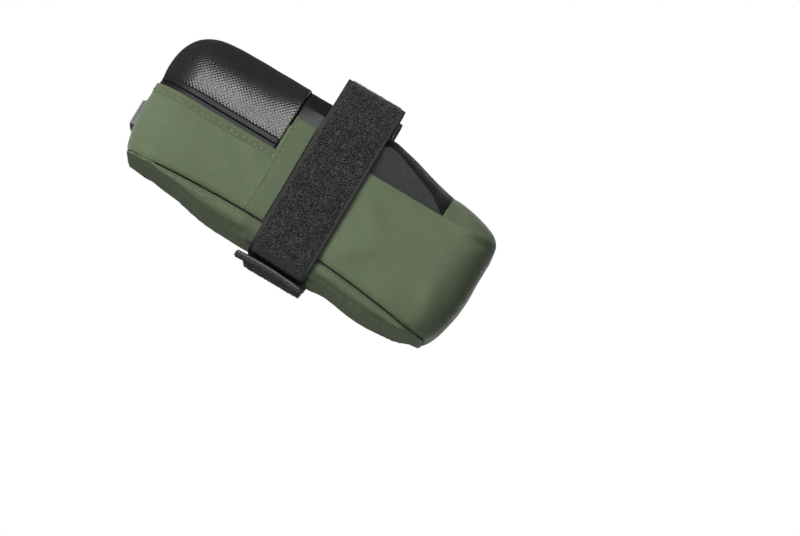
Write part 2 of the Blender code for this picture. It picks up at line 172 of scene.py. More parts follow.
class Cloth:
    """A surface made of grids that share their edges, with the cloth's own coordinates as a UV map."""

    def __init__(self):
        self.bm = bmesh.new()
        self.uv = self.bm.loops.layers.uv.new("cloth")

    def add(self, rows, coordinates, closed=False):
        """Adds a grid of points in millimetres and its cloth coordinates, also in millimetres."""
        verts = [[self.bm.verts.new(Vector(p) * MM) for p in row] for row in rows]
        columns = len(rows[0])
        for r in range(len(rows) - 1):
            for c in range(columns if closed else columns - 1):
                n = (c + 1) % columns
                corners = ((r, c), (r, n), (r + 1, n), (r + 1, c))
                try:
                    face = self.bm.faces.new([verts[i][j] for i, j in corners])
                except ValueError:
                    continue
                for loop, (i, j) in zip(face.loops, corners):
                    u, v = coordinates[i][j]
                    if closed and n == 0 and j == 0:
                        u = coordinates[i][-1][0] + SPACING
                    loop[self.uv].uv = (u * UV_PER_MM, v * UV_PER_MM)

    def mesh(self, name, centre=(0.0, 0.0, -35.0)):
        """The finished mesh, with doubles merged and its faces turned away from a centre."""
        bmesh.ops.remove_doubles(self.bm, verts=self.bm.verts, dist=2e-6)
        slim = [f for f in self.bm.faces if f.calc_area() < 1e-12]
        bmesh.ops.delete(self.bm, geom=slim, context="FACES")
        loose = [v for v in self.bm.verts if not v.link_faces]
        bmesh.ops.delete(self.bm, geom=loose, context="VERTS")
        self.bm.normal_update()
        middle = Vector(centre) * MM
        outward = 0.0
        for face in self.bm.faces:
            outward += (face.calc_center_median() - middle).dot(face.normal) * face.calc_area()
        if outward < 0.0:
            bmesh.ops.reverse_faces(self.bm, faces=self.bm.faces)
        mesh = bpy.data.meshes.new(name)
        self.bm.to_mesh(mesh)
        self.bm.free()
        return shade_smooth(mesh)


def emboss(mesh, field):
    """Moves each vertex along its normal by field(x, y, z), all in millimetres."""
    moves = [v.normal * field(*(v.co / MM)) * MM for v in mesh.vertices]
    for vertex, move in zip(mesh.vertices, moves):
        vertex.co += move


def thicken(obj, thickness, inner_slot=0, offset=-1.0, subdivide=1):
    solidify = obj.modifiers.new("thickness", "SOLIDIFY")
    solidify.thickness = thickness * MM
    solidify.offset = offset
    solidify.material_offset = inner_slot
    solidify.use_even_offset = False
    if subdivide:
        soft = obj.modifiers.new("soft", "SUBSURF")
        soft.levels = subdivide
        soft.render_levels = subdivide
    return apply_modifiers(obj)


# The bag's outline and its skin

def side_half_width(x):
    share = (x - REAR_X - REAR_RADIUS) / (FRONT_X - FRONT_RADIUS - REAR_X - REAR_RADIUS)
    return mix(REAR_HALF_WIDTH, FRONT_HALF_WIDTH, share)


def side_run(start, end, spacing=SPACING):
    steps = max(1, round(abs(end - start) / spacing))
    xs = [mix(start, end, i / steps) for i in range(steps + 1)]
    return [(x, -side_half_width(x)) for x in xs]


def turn(face_x, half_width, radius, spacing=SPACING):
    """Points on the right round one corner, from the side to the middle of a slightly bowed end face."""
    sign = 1.0 if face_x > 0.0 else -1.0
    steps = round(math.pi / 2.0 * radius / spacing)
    points = []
    for i in range(1, steps + 1):
        angle = math.pi / 2.0 * i / steps
        x = face_x - sign * radius * (1.0 - math.sin(angle))
        points.append((x, -(half_width - radius * (1.0 - math.cos(angle)))))
    flat = half_width - radius
    steps = round(flat / spacing)
    points += [(face_x, -flat * (1.0 - i / steps)) for i in range(1, steps + 1)]
    return points


def mirrored(points):
    return [(x, -y) for x, y in reversed(points[:-1])]


def rear_outline(start):
    half = side_run(start, REAR_X + REAR_RADIUS)
    half += turn(REAR_X, REAR_HALF_WIDTH, REAR_RADIUS)
    return half + mirrored(half)


def spine(x):
    return clamp(x, REAR_SPINE, FRONT_SPINE)


def inset_point(point, inset):
    x, y = point
    away = Vector((x - spine(x), y))
    if away.length < 1e-6:
        return point
    away *= (away.length - inset) / away.length
    return (spine(x) + away.x, away.y)


def wall_point(point, z, inset=0.0):
    lean = clamp((-35.0 - z) / 30.0, 0.0, 1.2) ** 2
    front_round = 1.7 * smooth(z, -62.0, -71.0) * smooth(point[0], 56.0, 74.0)
    x, y = inset_point(point, inset + front_round)
    middle = spine(x)
    reach = 0.15 if x > FRONT_SPINE else 0.09
    return (middle + (x - middle) * (1.0 - reach * lean), y * (1.0 - 0.035 * lean), z)


def seam_z(x):
    if x < -20.0:
        return -62.5 - 3.4 * ((x + 20.0) / 62.0) ** 2 + 1.3 * smooth(x, -72.0, -85.0)
    return -62.5 - 8.4 * ((x + 20.0) / 90.0) ** 1.6 + 2.0 * smooth(x, 64.0, 79.0)


def base_edge_z(x):
    """The height of the soft edge where the base turns under, nearly straight along the bag."""
    if x < 0.0:
        return mix(-70.2, -65.0, smooth(x, -34.0, -82.0))
    return mix(-71.0, -72.9, smooth(x, 14.0, 50.0)) + 3.4 * smooth(x, 58.0, 74.0)


def bottom_z(x):
    """The base's lowest height under the strap."""
    return seam_z(x) - 4.0 - 6.0 * clamp(1.0 - ((x + 12.0) / 76.0) ** 2)


def drawn_close(rise):
    """How far the base reaches towards its edge, at rise from 0 at the edge to 1 at the middle."""
    return max(0.0, 1.0 - min(1.0, rise) ** BASE_POWER) ** (1.0 / BASE_POWER)


def belly_z(x):
    """The base's lowest height away from the strap, where its load hangs."""
    sag = 2.4 * bell(x, -26.0, 20.0) if x < 0.0 else 2.7 * bell(x, 42.0, 22.0)
    return base_edge_z(x) - sag - 0.2


def crown_z(x):
    return 1.0 - smooth(x, -57.0, -14.0) - max(0.0, x - 18.0) * FRONT_SLOPE


def roundness(x):
    return 2.8 + 1.9 * smooth(x, -45.0, -14.0) - 1.4 * smooth(x, 16.0, FRONT_SPINE)


def dome_point(point, rise, inset=0.0):
    """A point on the rounded top over the outline, at rise from 0 at the wall to 1 at the middle."""
    x, y = inset_point(point, inset)
    power = roundness(spine(x))
    close = max(0.0, 1.0 - rise ** power) ** (1.0 / power)
    at = spine(x) + (x - spine(x)) * close
    return (at, y * close, WALL_TOP + (crown_z(at) - inset - WALL_TOP) * rise)


def roof_point(point, close):
    """A point on the front half's top, which slopes up from a shoulder line that falls to the front."""
    x, y = point
    middle = spine(x)
    turned = smooth(math.atan2(max(0.0, x - FRONT_SPINE), abs(y) + 1e-6) / (math.pi / 2.0), 0.05, 0.8)
    along = clamp((x - 18.0) / (FRONT_SPINE - 18.0))
    shoulder = mix(-5.5, -17.8, along ** 1.15) - 2.2 * smooth(x, FRONT_SPINE - 9.0, FRONT_SPINE)
    shoulder = mix(-9.0, shoulder, smooth(x, 6.0, 20.0))
    shoulder = mix(shoulder, -22.0, turned)
    sharp = mix(3.4, 2.0, along) + 6.0 * turned
    lift = (1.0 - close ** sharp) ** (1.0 / (1.0 + 1.3 * turned))
    at = middle + (x - middle) * close
    return (at, y * close, shoulder + (crown_z(at) - shoulder) * lift), shoulder


# Materials

def fill(tree, socket, value):
    """Sets a socket to a value, or links another node's output to it."""
    if isinstance(value, bpy.types.NodeSocket):
        tree.links.new(value, socket)
    else:
        socket.default_value = value


def node(tree, kind, inputs=(), output=0, **settings):
    """Adds a node and gives back one of its outputs."""
    made = tree.nodes.new("ShaderNode" + kind)
    for key, value in settings.items():
        setattr(made, key, value)
    for key, value in dict(inputs).items():
        fill(tree, made.inputs[key], value)
    return made.outputs[output]


def material(name, roughness, metallic=0.0, sheen=0.0, specular=0.5):
    made = bpy.data.materials.new(name)
    made.use_nodes = True
    shader = made.node_tree.nodes["Principled BSDF"]
    shader.inputs["Roughness"].default_value = roughness
    shader.inputs["Metallic"].default_value = metallic
    shader.inputs["Specular IOR Level"].default_value = specular
    shader.inputs["Sheen Weight"].default_value = sheen
    shader.inputs["Sheen Roughness"].default_value = 0.5
    return made, made.node_tree, shader


def math_node(tree, operation, *values):
    return node(tree, "Math", enumerate(values), operation=operation)


def noise_node(tree, scale, detail, roughness=0.5):
    place = node(tree, "TexCoord", output="Object")
    inputs = {"Scale": scale, "Detail": detail, "Roughness": roughness, "Vector": place}
    return node(tree, "TexNoise", inputs, "Fac")


def ramp(tree, value, low, high, start=0.0, end=1.0):
    inputs = {"From Min": start, "From Max": end, "To Min": low, "To Max": high, "Value": value}
    return node(tree, "MapRange", inputs, "Result")


def weighted(tree, *terms):
    """The sum of values, each times its weight."""
    total = None
    for value, weight in terms:
        part = value if weight == 1.0 else math_node(tree, "MULTIPLY", value, weight)
        total = part if total is None else math_node(tree, "ADD", total, part)
    return total


def color_mix(tree, share, dark, light):
    inputs = {"A": (*dark, 1.0), "B": (*light, 1.0), "Factor": share}
    return node(tree, "Mix", inputs, "Result", data_type="RGBA")


def paint(tree, shader, share, dark, light):
    """Colours the face from dark to light by share."""
    fill(tree, shader.inputs["Base Color"], color_mix(tree, share, dark, light))


def roughen(tree, shader, value, low, high):
    fill(tree, shader.inputs["Roughness"], ramp(tree, value, low, high))


def bump(tree, shader, height, distance, strength=1.0):
    inputs = {"Strength": strength, "Distance": distance, "Height": height}
    fill(tree, shader.inputs["Normal"], node(tree, "Bump", inputs, "Normal"))


def cloth_axes(tree):
    """The cloth's two directions, in millimetres."""
    uv = node(tree, "UVMap", output="UV", uv_map="cloth")
    axes = [node(tree, "SeparateXYZ", {0: uv}, axis) for axis in ("X", "Y")]
    return [math_node(tree, "MULTIPLY", axis, 1.0 / UV_PER_MM) for axis in axes]


def wave(tree, value, period, sharpness=1.0):
    """Ridges from 0 to 1 that repeat every period."""
    phase = math_node(tree, "MULTIPLY", value, TURN / period)
    ridge = math_node(tree, "MULTIPLY", math_node(tree, "SINE", phase), 0.5)
    return math_node(tree, "POWER", math_node(tree, "ADD", ridge, 0.5), sharpness)


def ripstop(name, dark, light, roughness=0.72, sheen=0.25, cross_ribs=0.20):
    """Plain-woven nylon with fine raised yarns along the bag and a faint ripstop grid."""
    made, tree, shader = material(name, roughness, sheen=sheen, specular=0.35)
    along, across = cloth_axes(tree)
    yarn_period, yarn_sharpness, fine_period = 1.25, 2.5, 0.5
    rows = wave(tree, weighted(tree, (across, 1.0), (noise_node(tree, 260.0, 2.0), 0.5)), yarn_period,
                yarn_sharpness)
    columns = wave(tree, along, yarn_period, yarn_sharpness)
    fine = math_node(tree, "MULTIPLY", wave(tree, along, fine_period), wave(tree, across, fine_period))
    weave = weighted(tree, (rows, 0.45), (columns, cross_ribs), (fine, 0.3))
    patch = noise_node(tree, 34.0, 4.0)
    grain = noise_node(tree, 900.0, 2.0)
    tone = weighted(tree, (weave, 0.42), (patch, 0.5), (grain, 0.22))
    paint(tree, shader, ramp(tree, tone, 0.0, 1.0, 0.2, 0.85), dark, light)
    roughen(tree, shader, patch, roughness - 0.06, roughness + 0.08)
    bump(tree, shader, weighted(tree, (weave, 1.0), (grain, 0.35)), 0.00007, 0.8)
    return made


def coated(name, dark, light, roughness, pebble=0.00009, scale=900.0, crosshatch=0.0, gloss=0.5):
    """Coated fabric: half gloss over a fine pebbled face, or one with a crosshatch of that period."""
    made, tree, shader = material(name, roughness, specular=gloss)
    inputs = {"Scale": scale, "Smoothness": 0.6, "Vector": node(tree, "TexCoord", output="Object")}
    cells = node(tree, "TexVoronoi", inputs, "Distance", feature="SMOOTH_F1")
    height = math_node(tree, "SUBTRACT", 1.0, cells)
    if crosshatch:
        along, across = cloth_axes(tree)
        slants = [math_node(tree, way, along, across) for way in ("ADD", "SUBTRACT")]
        hatch = math_node(tree, "MAXIMUM", *[wave(tree, slant, crosshatch, 2.0) for slant in slants])
        height = weighted(tree, (height, 0.3), (hatch, 1.0))
    paint(tree, shader, ramp(tree, height, 0.0, 1.0, 0.3, 1.2), dark, light)
    roughen(tree, shader, noise_node(tree, 60.0, 4.0), roughness - 0.08, roughness + 0.1)
    bump(tree, shader, height, pebble)
    return made


def loop_pile_painted_glints(name, dark, light):
    """Black loop pile, matt, with light specks painted on as glints where the loops catch the light."""
    made, tree, shader = material(name, 0.95, sheen=0.35, specular=0.15)
    painted_glints = noise_node(tree, 2100.0, 3.0, roughness=0.75)
    tone = weighted(tree, (painted_glints, 1.0), (noise_node(tree, 420.0, 2.0), 0.12))
    paint(tree, shader, ramp(tree, tone, 0.0, 1.0, 0.55, 0.70), dark, light)
    bump(tree, shader, tone, 0.0004)
    return made


def plain(name, dark, light, roughness, metallic=0.0, scale=500.0, depth=0.00004, sheen=0.0):
    """A plain face with fine grain and slow colour variation."""
    made, tree, shader = material(name, roughness, metallic=metallic, sheen=sheen)
    grain = noise_node(tree, scale, 4.0)
    patch = noise_node(tree, 60.0, 3.0)
    tone = weighted(tree, (grain, 0.5), (patch, 0.5))
    paint(tree, shader, ramp(tree, tone, 0.0, 1.0, 0.3, 0.7), dark, light)
    roughen(tree, shader, patch, roughness - 0.07, roughness + 0.07)
    bump(tree, shader, grain, depth)
    return made


def webbing(name, dark, light, period=1.6):
    """Flat webbing with twill ribs across it and plain edges."""
    made, tree, shader = material(name, 0.8, sheen=0.2, specular=0.3)
    along, across = cloth_axes(tree)
    twill = wave(tree, weighted(tree, (along, 1.0), (across, 0.5)), period)
    ribs = math_node(tree, "MULTIPLY", twill, wave(tree, across, period * 0.5))
    tone = weighted(tree, (ribs, 0.8), (noise_node(tree, 900.0, 2.0), 0.4))
    paint(tree, shader, tone, dark, light)
    bump(tree, shader, tone, 0.00015)
    return made


def grey(value):
    return (value, value, value)


GREEN = ripstop("green_ripstop", (0.100, 0.135, 0.068), (0.182, 0.232, 0.132))
GREEN_BAND = ripstop("green_band", (0.092, 0.124, 0.063), (0.165, 0.210, 0.120), 0.75)
GREEN_BASE = ripstop("green_base", (0.080, 0.110, 0.054), (0.170, 0.215, 0.122), cross_ribs=0.8)
LID_BLACK = coated("lid_coated", (0.010, 0.010, 0.011), (0.030, 0.030, 0.031), 0.33, 0.00009, 1000.0,
                   crosshatch=1.7, gloss=1.0)
# The top panel's one black fabric comes in two copies: a darker plain one for its top faces as painted shade,
# and a lighter crosshatched one for its side faces as painted light. The crosshatch itself is the fabric's
# own weave.
TOP_BLACK_SHADED = coated("top_coated_shaded", (0.006, 0.006, 0.007), (0.024, 0.024, 0.025), 0.5, 0.00008, 1200.0)
TOP_HATCHED_LIT = coated("top_hatched_lit", grey(0.008), grey(0.085), 0.55, 0.00020, 1200.0, crosshatch=1.1)
ZIP_TAPE = coated("zip_tape_smooth", (0.012, 0.012, 0.014), (0.024, 0.023, 0.027), 0.6, 0.00002, 2500.0)
PILE = loop_pile_painted_glints("loop_pile_painted_glints", grey(0.002), grey(0.155))
# Light grey fibre tips: painted glints on the black pile.
PILE_TIPS_PAINTED_GLINT = plain("pile_tips_painted_glint", grey(0.05), grey(0.44), 0.7, scale=900.0, depth=0.00005, sheen=0.3)
SELVEDGE = plain("strap_selvedge", grey(0.020), grey(0.05), 0.8, scale=1400.0, depth=0.0001)
HOOKS = plain("hook_face", grey(0.006), grey(0.03), 0.5, scale=1600.0, depth=0.0004)
LINING = plain("grey_lining", (0.055, 0.056, 0.06), (0.10, 0.10, 0.105), 0.85, scale=1200.0, depth=0.00008,
               sheen=0.2)
FOAM = plain("foam", (0.03, 0.03, 0.033), (0.06, 0.06, 0.065), 0.95, scale=1500.0, depth=0.0003)
BOARD = plain("plastic_board", grey(0.012), grey(0.03), 0.45, scale=700.0)
COIL = plain("nylon_coil", (0.008, 0.008, 0.009), (0.022, 0.022, 0.024), 0.4, scale=900.0)
METAL = plain("black_lacquer", (0.012, 0.012, 0.013), (0.035, 0.035, 0.037), 0.3, metallic=0.6, scale=1200.0)
GREEN_THREAD = plain("green_thread", (0.15, 0.19, 0.11), (0.30, 0.36, 0.23), 0.7, scale=2600.0, depth=0.0001)
GREY_THREAD = plain("grey_thread", grey(0.16), grey(0.50), 0.7, scale=2600.0, depth=0.0001)
BLACK_THREAD = plain("black_thread", grey(0.01), grey(0.035), 0.7, scale=2600.0, depth=0.0001)
LOOP_WEB = webbing("loop_webbing", grey(0.10), (0.42, 0.43, 0.42))


# Relief of the soft panels

FOLDS = (
    # start x, start z, end x, end z, width, height in millimetres
    (-27.0, -58.0, -46.0, -50.0, 2.6, 0.75),
    (-27.5, -50.0, -44.0, -39.0, 3.0, -0.60),
    (-27.5, -43.0, -36.0, -37.0, 2.0, 0.45),
    (-50.0, -60.0, -68.0, -50.0, 4.0, 0.50),
    (-74.0, -38.0, -66.0, -58.0, 4.0, -0.50),
    (-60.0, -37.0, -80.0, -41.0, 2.6, 0.40),
    (16.0, -58.0, 36.0, -47.0, 3.2, 0.80),
    (16.0, -29.0, 31.0, -37.0, 3.0, 0.70),
    (16.5, -38.0, 27.0, -43.0, 2.2, -0.60),
    (17.0, -50.0, 27.0, -44.0, 2.2, -0.50),
    (40.0, -58.0, 56.0, -64.0, 3.5, 0.55),
    (60.0, -40.0, 67.0, -62.0, 4.5, 0.70),
    (45.0, -26.0, 64.0, -33.0, 4.0, 0.45),
    (51.0, -18.6, 70.0, -18.8, 1.2, 0.50),
    (61.0, -21.0, 75.5, -18.2, 1.1, 0.50),
    (64.0, -23.6, 77.0, -20.6, 1.1, -0.60),
    (67.0, -25.8, 78.0, -23.4, 1.3, 0.50),
)


def fold_relief(x, z):
    """Soft creases pulled by the strap and the corners."""
    total = 0.0
    for x0, z0, x1, z1, width, height in FOLDS:
        run = Vector((x1 - x0, z1 - z0))
        to = Vector((x - x0, z - z0))
        share = clamp(to.dot(run) / run.length_squared)
        distance = (to - run * share).length
        total += height * math.exp(-(distance / width) ** 2) * math.sin(math.pi * mix(0.12, 0.88, share))
    return total


def wall_relief(x, y, z):
    """How far the green wall stands out: a stuffed belly, the strap's squeeze, creases and slow waves."""
    low = seam_z(x)
    height = clamp((z - low) / (HEM_Z - low))
    belly = 1.25 * math.sin(math.pi * height * 0.95)
    belly *= 1.0 + 0.6 * (bell(x, -34.0, 12.0) + bell(x, 31.0, 13.0))
    belly *= 1.0 - 0.6 * smooth(x, 56.0, 72.0)
    squeeze = smooth(abs(x), 13.0, 24.0)
    waves = 0.42 * wavy((x, y, z), 17.0, 3.0) + 0.12 * wavy((x, y, z), 6.0, 5.0)
    pucker = wavy((x, y * 1.5, z * 0.22), 2.6, 12.0)
    waves += 0.24 * pucker * bell(z, low + 3.5, 3.0) + 0.16 * pucker * bell(z, HEM_Z - 6.0, 2.5)
    roll = smooth(z, low + 2.2, low) * 0.8
    free_edge = smooth(x, BAND_REAR, BAND_FRONT) * smooth(x, FRONT_SPINE - 1.0, FRONT_SPINE - 8.0)
    top_edge = 0.25 * smooth(z, SIDE_TOP - 2.5, SIDE_TOP) * free_edge
    return (belly + 1.35 * fold_relief(x, z) + waves) * squeeze - roll - top_edge


# How far each row of the roof reaches towards the outline, from 1 at the wall to 0 at the middle.
ROOF_CLOSES = (1.0, 0.995, 0.985, 0.97, 0.95, 0.925, 0.895, 0.86, 0.82, 0.775, 0.72, 0.65, 0.57, 0.48, 0.38,
               0.26, 0.13, 0.0)


# The green shell

def ring_outline():
    """The outline once round, from the left side at FRONT_SPINE over the front, and its ranges."""
    front_half = side_run(FRONT_SPINE, FRONT_X - FRONT_RADIUS) + turn(FRONT_X, FRONT_HALF_WIDTH, FRONT_RADIUS)
    front = [(x, -y) for x, y in front_half] + [(x, y) for x, y in reversed(front_half[:-1])]
    right = side_run(FRONT_SPINE, LID_FRONT)
    rear = rear_outline(LID_FRONT)
    left = [(x, -y) for x, y in reversed(right)]
    return front, right, rear, left


def closed_outline():
    """The whole outline as one ring, whose last point isn't repeated."""
    return [point for part in ring_outline() for point in part[:-1]]


def distance(a, b):
    return (Vector(a) - Vector(b)).length


def lengths(outline, start=0.0):
    """The distance along an outline at each of its points."""
    result = [start]
    for a, b in zip(outline, outline[1:]):
        result.append(result[-1] + distance(a, b))
    return result


def step_at(run, place, start=0):
    """The step of a path that holds a distance along it, and the share of that step."""
    i = start
    while i < len(run) - 2 and run[i + 1] < place:
        i += 1
    return i, (place - run[i]) / max(1e-6, run[i + 1] - run[i])


def cloth_marks(rows, first):
    """The cloth coordinates of rows of points, from the first row's and the distance between rows."""
    marks = [first]
    for before, after in zip(rows, rows[1:]):
        marks.append([(u, v + distance(a, b)) for (u, v), a, b in zip(marks[-1], before, after)])
    return marks


def green_walls():
    """The four green walls and the front hood, as one sewn shell with a grey lining."""
    low_shares = (0.0, 0.02, 0.045, 0.08, 0.14, 0.22, 0.31, 0.4, 0.49, 0.58, 0.67, 0.76, 0.85, 0.93, 1.0)
    heights = (HEM_Z, -31.0, -29.0, -27.0, -25.0, -23.0, -21.5, -20.5, SIDE_TOP)
    cloth = Cloth()
    u = 0.0
    for part, outline in zip(("front", "right", "rear", "left"), ring_outline()):
        along = lengths(outline, u)
        u = along[-1]
        rows, coordinates = [], []
        for share in low_shares:
            lows = [seam_z(x) for x, y in outline]
            zs = [low + SEAM_GAP + (HEM_Z - low - SEAM_GAP) * share for low in lows]
            rows.append([wall_point(point, z) for point, z in zip(outline, zs)])
            coordinates.append(list(zip(along, zs)))
        cloth.add(rows, coordinates)
        if part == "rear":
            continue
        rows, coordinates = [], []
        for z in heights:
            zs = [z] * len(outline)
            if part == "front":
                share = (z - HEM_Z) / (SIDE_TOP - HEM_Z)
                zs = [HEM_Z + (roof_point(point, 1.0)[1] - HEM_Z) * share for point in outline]
            rows.append([(x, y, at) for (x, y), at in zip(outline, zs)])
            coordinates.append(list(zip(along, zs)))
        if part == "front":
            roof = [[roof_point(point, close)[0] for point in outline] for close in ROOF_CLOSES[1:]]
            coordinates += cloth_marks(rows[-1:] + roof, coordinates[-1])[1:]
            rows += roof
        cloth.add(rows, coordinates)
    mesh = cloth.mesh("green_walls")
    emboss(mesh, wall_relief)
    obj = new_object("green_walls", mesh, GREEN, LINING)
    thicken(obj, 1.0, inner_slot=1)
    assign(obj, "green_fabric", "bag", "right_side_panel", "left_side_panel", "rear_panel", "front_panel")
    return obj


def clear_of_strap(x):
    """0 where the strap draws the base in, and 1 where the base hangs free."""
    return smooth(abs(x), 14.6, 23.0)


def base_rows(outline):
    """Rows of points on the base: a strip down from the seam to a soft edge, then the underside.

    Under the strap the base is drawn in to a rounder section.
    """
    rows = []
    for step in range(STRIP_STEPS + UNDER_STEPS + 1):
        row = []
        strip = min(1.0, step / STRIP_STEPS)
        under = max(0.0, (step - STRIP_STEPS) / UNDER_STEPS)
        rise = math.sin(math.pi / 2.0 * (0.45 * strip + 0.55 * under)) ** (2.0 / BASE_POWER)
        for point in outline:
            seam = seam_z(point[0])
            x, y, _ = wall_point(point, seam)
            middle = spine(x)
            tuck = 1.0 - 2.0 * strip ** 2 / Vector((x - middle, y)).length
            free_close = tuck * math.cos(math.pi / 2.0 * under) ** 0.8 if under < 1.0 else 0.0
            free = clear_of_strap(x)
            close = mix(drawn_close(rise), free_close, free)
            at = middle + (x - middle) * close
            foot = seam_z(at) + seam - seam_z(x)
            drawn_z = foot - SEAM_GAP + (bottom_z(at) - foot + SEAM_GAP) * rise
            edge = min(base_edge_z(at), seam - 1.2)
            free_z = mix(seam - SEAM_GAP, edge, strip)
            if under > 0.0:
                free_z = mix(edge, min(belly_z(at), edge), 1.0 - close ** 2.2)
            row.append((at, y * close, mix(drawn_z, free_z, free)))
        rows.append(row)
    return rows


def bottom_shell():
    """The base: a puffed strip along each seam, a soft edge, and gathered fabric underneath."""
    outline = closed_outline()
    rows = base_rows(outline)
    cloth = Cloth()
    cloth.add(rows, cloth_marks(rows, [(mark, 0.0) for mark in lengths(outline)]), closed=True)
    mesh = cloth.mesh("bottom_shell", centre=(0.0, 0.0, 0.0))

    def relief(x, y, z):
        edge_in = side_half_width(clamp(x, REAR_X, FRONT_X)) * 0.95 - abs(y)
        seam, edge = seam_z(x), base_edge_z(x)
        free = clear_of_strap(x)
        share = clamp((seam - z) / max(1.0, seam - edge))
        ends = smooth(x, -84.0, -64.0) * smooth(x, 73.0, 58.0)
        puff = 1.8 * math.sin(math.pi * share ** 0.8) * free * mix(0.15, 1.0, ends)
        crease = -1.5 * bell(z, edge - 0.2, 1.2) * bell(edge_in, 2.0, 4.0) * free * mix(0.4, 1.0, ends)
        ribs = 0.30 * math.sin(x * TURN / 2.8 + 1.6 * wavy((x, y, 0.0), 8.0))
        ribs *= smooth(z, edge + 0.4, edge - 0.6) * bell(edge_in, 5.0, 8.0) * smooth(abs(x), 15.0, 19.0)
        slow = 0.40 * wavy((x, y, z), 16.0, 11.0) * free * ends
        pulled = 0.5 * math.sin(y * TURN / 13.0) * bell(abs(x), 20.0, 5.0)
        pulled *= smooth(z, seam - 3.0, edge)
        roll = 0.8 * smooth(z, seam - 1.8, seam - 0.1)
        return puff + crease + ribs + slow + pulled - roll

    emboss(mesh, relief)
    obj = new_object("bottom_shell", mesh, GREEN_BASE)
    thicken(obj, 0.9)
    assign(obj, "green_fabric", "bag", "bottom_panel")


def base_board():
    """The thin plastic board that lies on the base."""
    edge_inset, lift, thickness = 7.0, 3.0, 1.0
    outline = [inset_point(point, edge_inset) for point in closed_outline()]
    rows = [[(x, y, z + lift) for x, y, z in row] for row in base_rows(outline)[STRIP_STEPS:]]
    cloth = Cloth()
    cloth.add(rows, [[(x, y) for x, y, z in row] for row in rows], closed=True)
    obj = new_object("base_board", cloth.mesh("base_board", centre=(0.0, 0.0, 0.0)), BOARD)
    thicken(obj, thickness, subdivide=0)
    assign(obj, "board", "bag", "base_stiffener")


# The black top and the lid

def lid_shell():
    """The lid's dome of coated fabric, lined in grey, built closed; nothing here bends it up from its front
    edge.
    """
    outline = rear_outline(LID_FRONT)
    power, steps = 2.8, 26
    rises = [math.sin(math.pi / 2.0 * i / steps) ** (2.0 / power) for i in range(steps)] + [1.0]
    rows = [[(x, y, WALL_TOP - 0.4) for x, y in [inset_point(p, 0.5) for p in outline]]]
    rows += [[dome_point(p, rise) for p in outline] for rise in rises]
    cloth = Cloth()
    cloth.add(rows, cloth_marks(rows, [(mark, 0.0) for mark in lengths(outline)]))
    mesh = cloth.mesh("lid_shell")

    def relief(x, y, z):
        fade = smooth(x, LID_FRONT, LID_FRONT - 8.0)
        soft = 0.55 * wavy((x, y, z), 24.0, 1.0) + 0.16 * wavy((x, y, z), 8.0, 4.0)
        gather = 0.10 * math.sin((x + abs(y)) * TURN / 5.2) * bell(z, WALL_TOP + 2.0, 2.4)
        return (soft + gather) * fade * smooth(z, WALL_TOP - 0.5, WALL_TOP + 2.5) + 0.1

    emboss(mesh, relief)
    obj = new_object("lid_shell", mesh, LID_BLACK, LINING)
    thicken(obj, 0.8, inner_slot=1)
    assign(obj, "black_coated_fabric", "bend", "lid_panel", "lid_lining")


def top_shell():
    """The black top between the lid and the hood, tucked under the green walls' upper edge."""
    tuck_steps, tuck = 6, 1.5
    rows, coordinates = [], []
    for x, _ in side_run(LID_FRONT + 0.2, FRONT_SPINE + 0.6):
        half_width = side_half_width(x) - 0.9
        point = (min(x, FRONT_SPINE), -half_width)
        _, shoulder = roof_point(point, 1.0)
        to_lid = smooth(x, -14.0, LID_FRONT)
        half = []
        for i in range(tuck_steps):
            z = SIDE_TOP - tuck + 0.1 * i
            if shoulder > SIDE_TOP + 0.5:
                z = mix(SIDE_TOP - tuck, shoulder, i / tuck_steps)
            half.append(Vector((x, -half_width, z)))
        for close in ROOF_CLOSES:
            _, y, z = roof_point(point, close)[0]
            half.append(Vector((x, y, z)))
        power = roundness(spine(x))
        for spot in half:
            rise = clamp((spot.z - WALL_TOP) / (crown_z(x) - WALL_TOP))
            narrow = max(0.0, 1.0 - rise ** power) ** (1.0 / power)
            if abs(spot.y) > 0.5:
                spot.y = mix(spot.y, max(-narrow * half_width, spot.y), to_lid)
        row = [tuple(p) for p in half] + [(p.x, -p.y, p.z) for p in reversed(half[:-1])]
        rows.append(row)
        coordinates.append([(x, mark) for mark in lengths(row)])
    cloth = Cloth()
    cloth.add(rows, coordinates)
    mesh = cloth.mesh("top_shell")

    def relief(x, y, z):
        free = smooth(abs(x), 14.0, 24.0) * smooth(x, FRONT_SPINE, FRONT_SPINE - 5.0)
        return 0.4 * wavy((x, y, z), 14.0, 6.0) * free * smooth(z, SIDE_TOP, SIDE_TOP + 5.0)

    emboss(mesh, relief)
    obj = new_object("top_shell", mesh, TOP_BLACK_SHADED, LINING, TOP_HATCHED_LIT)
    # The side faces low on the front half take the lighter crosshatched copy. This is painted light on the
    # sides, and the top stays darker as painted shade.
    lit_hatched_slot = 2
    for polygon in mesh.polygons:
        x, _, z = polygon.center / MM
        _, shoulder = roof_point((x, -side_half_width(x)), 1.0)
        if z < shoulder + 0.5 and x > 0.0:
            polygon.material_index = lit_hatched_slot
    thicken(obj, 0.8, inner_slot=1)
    assign(obj, "black_coated_fabric", "bag", "top_panel")


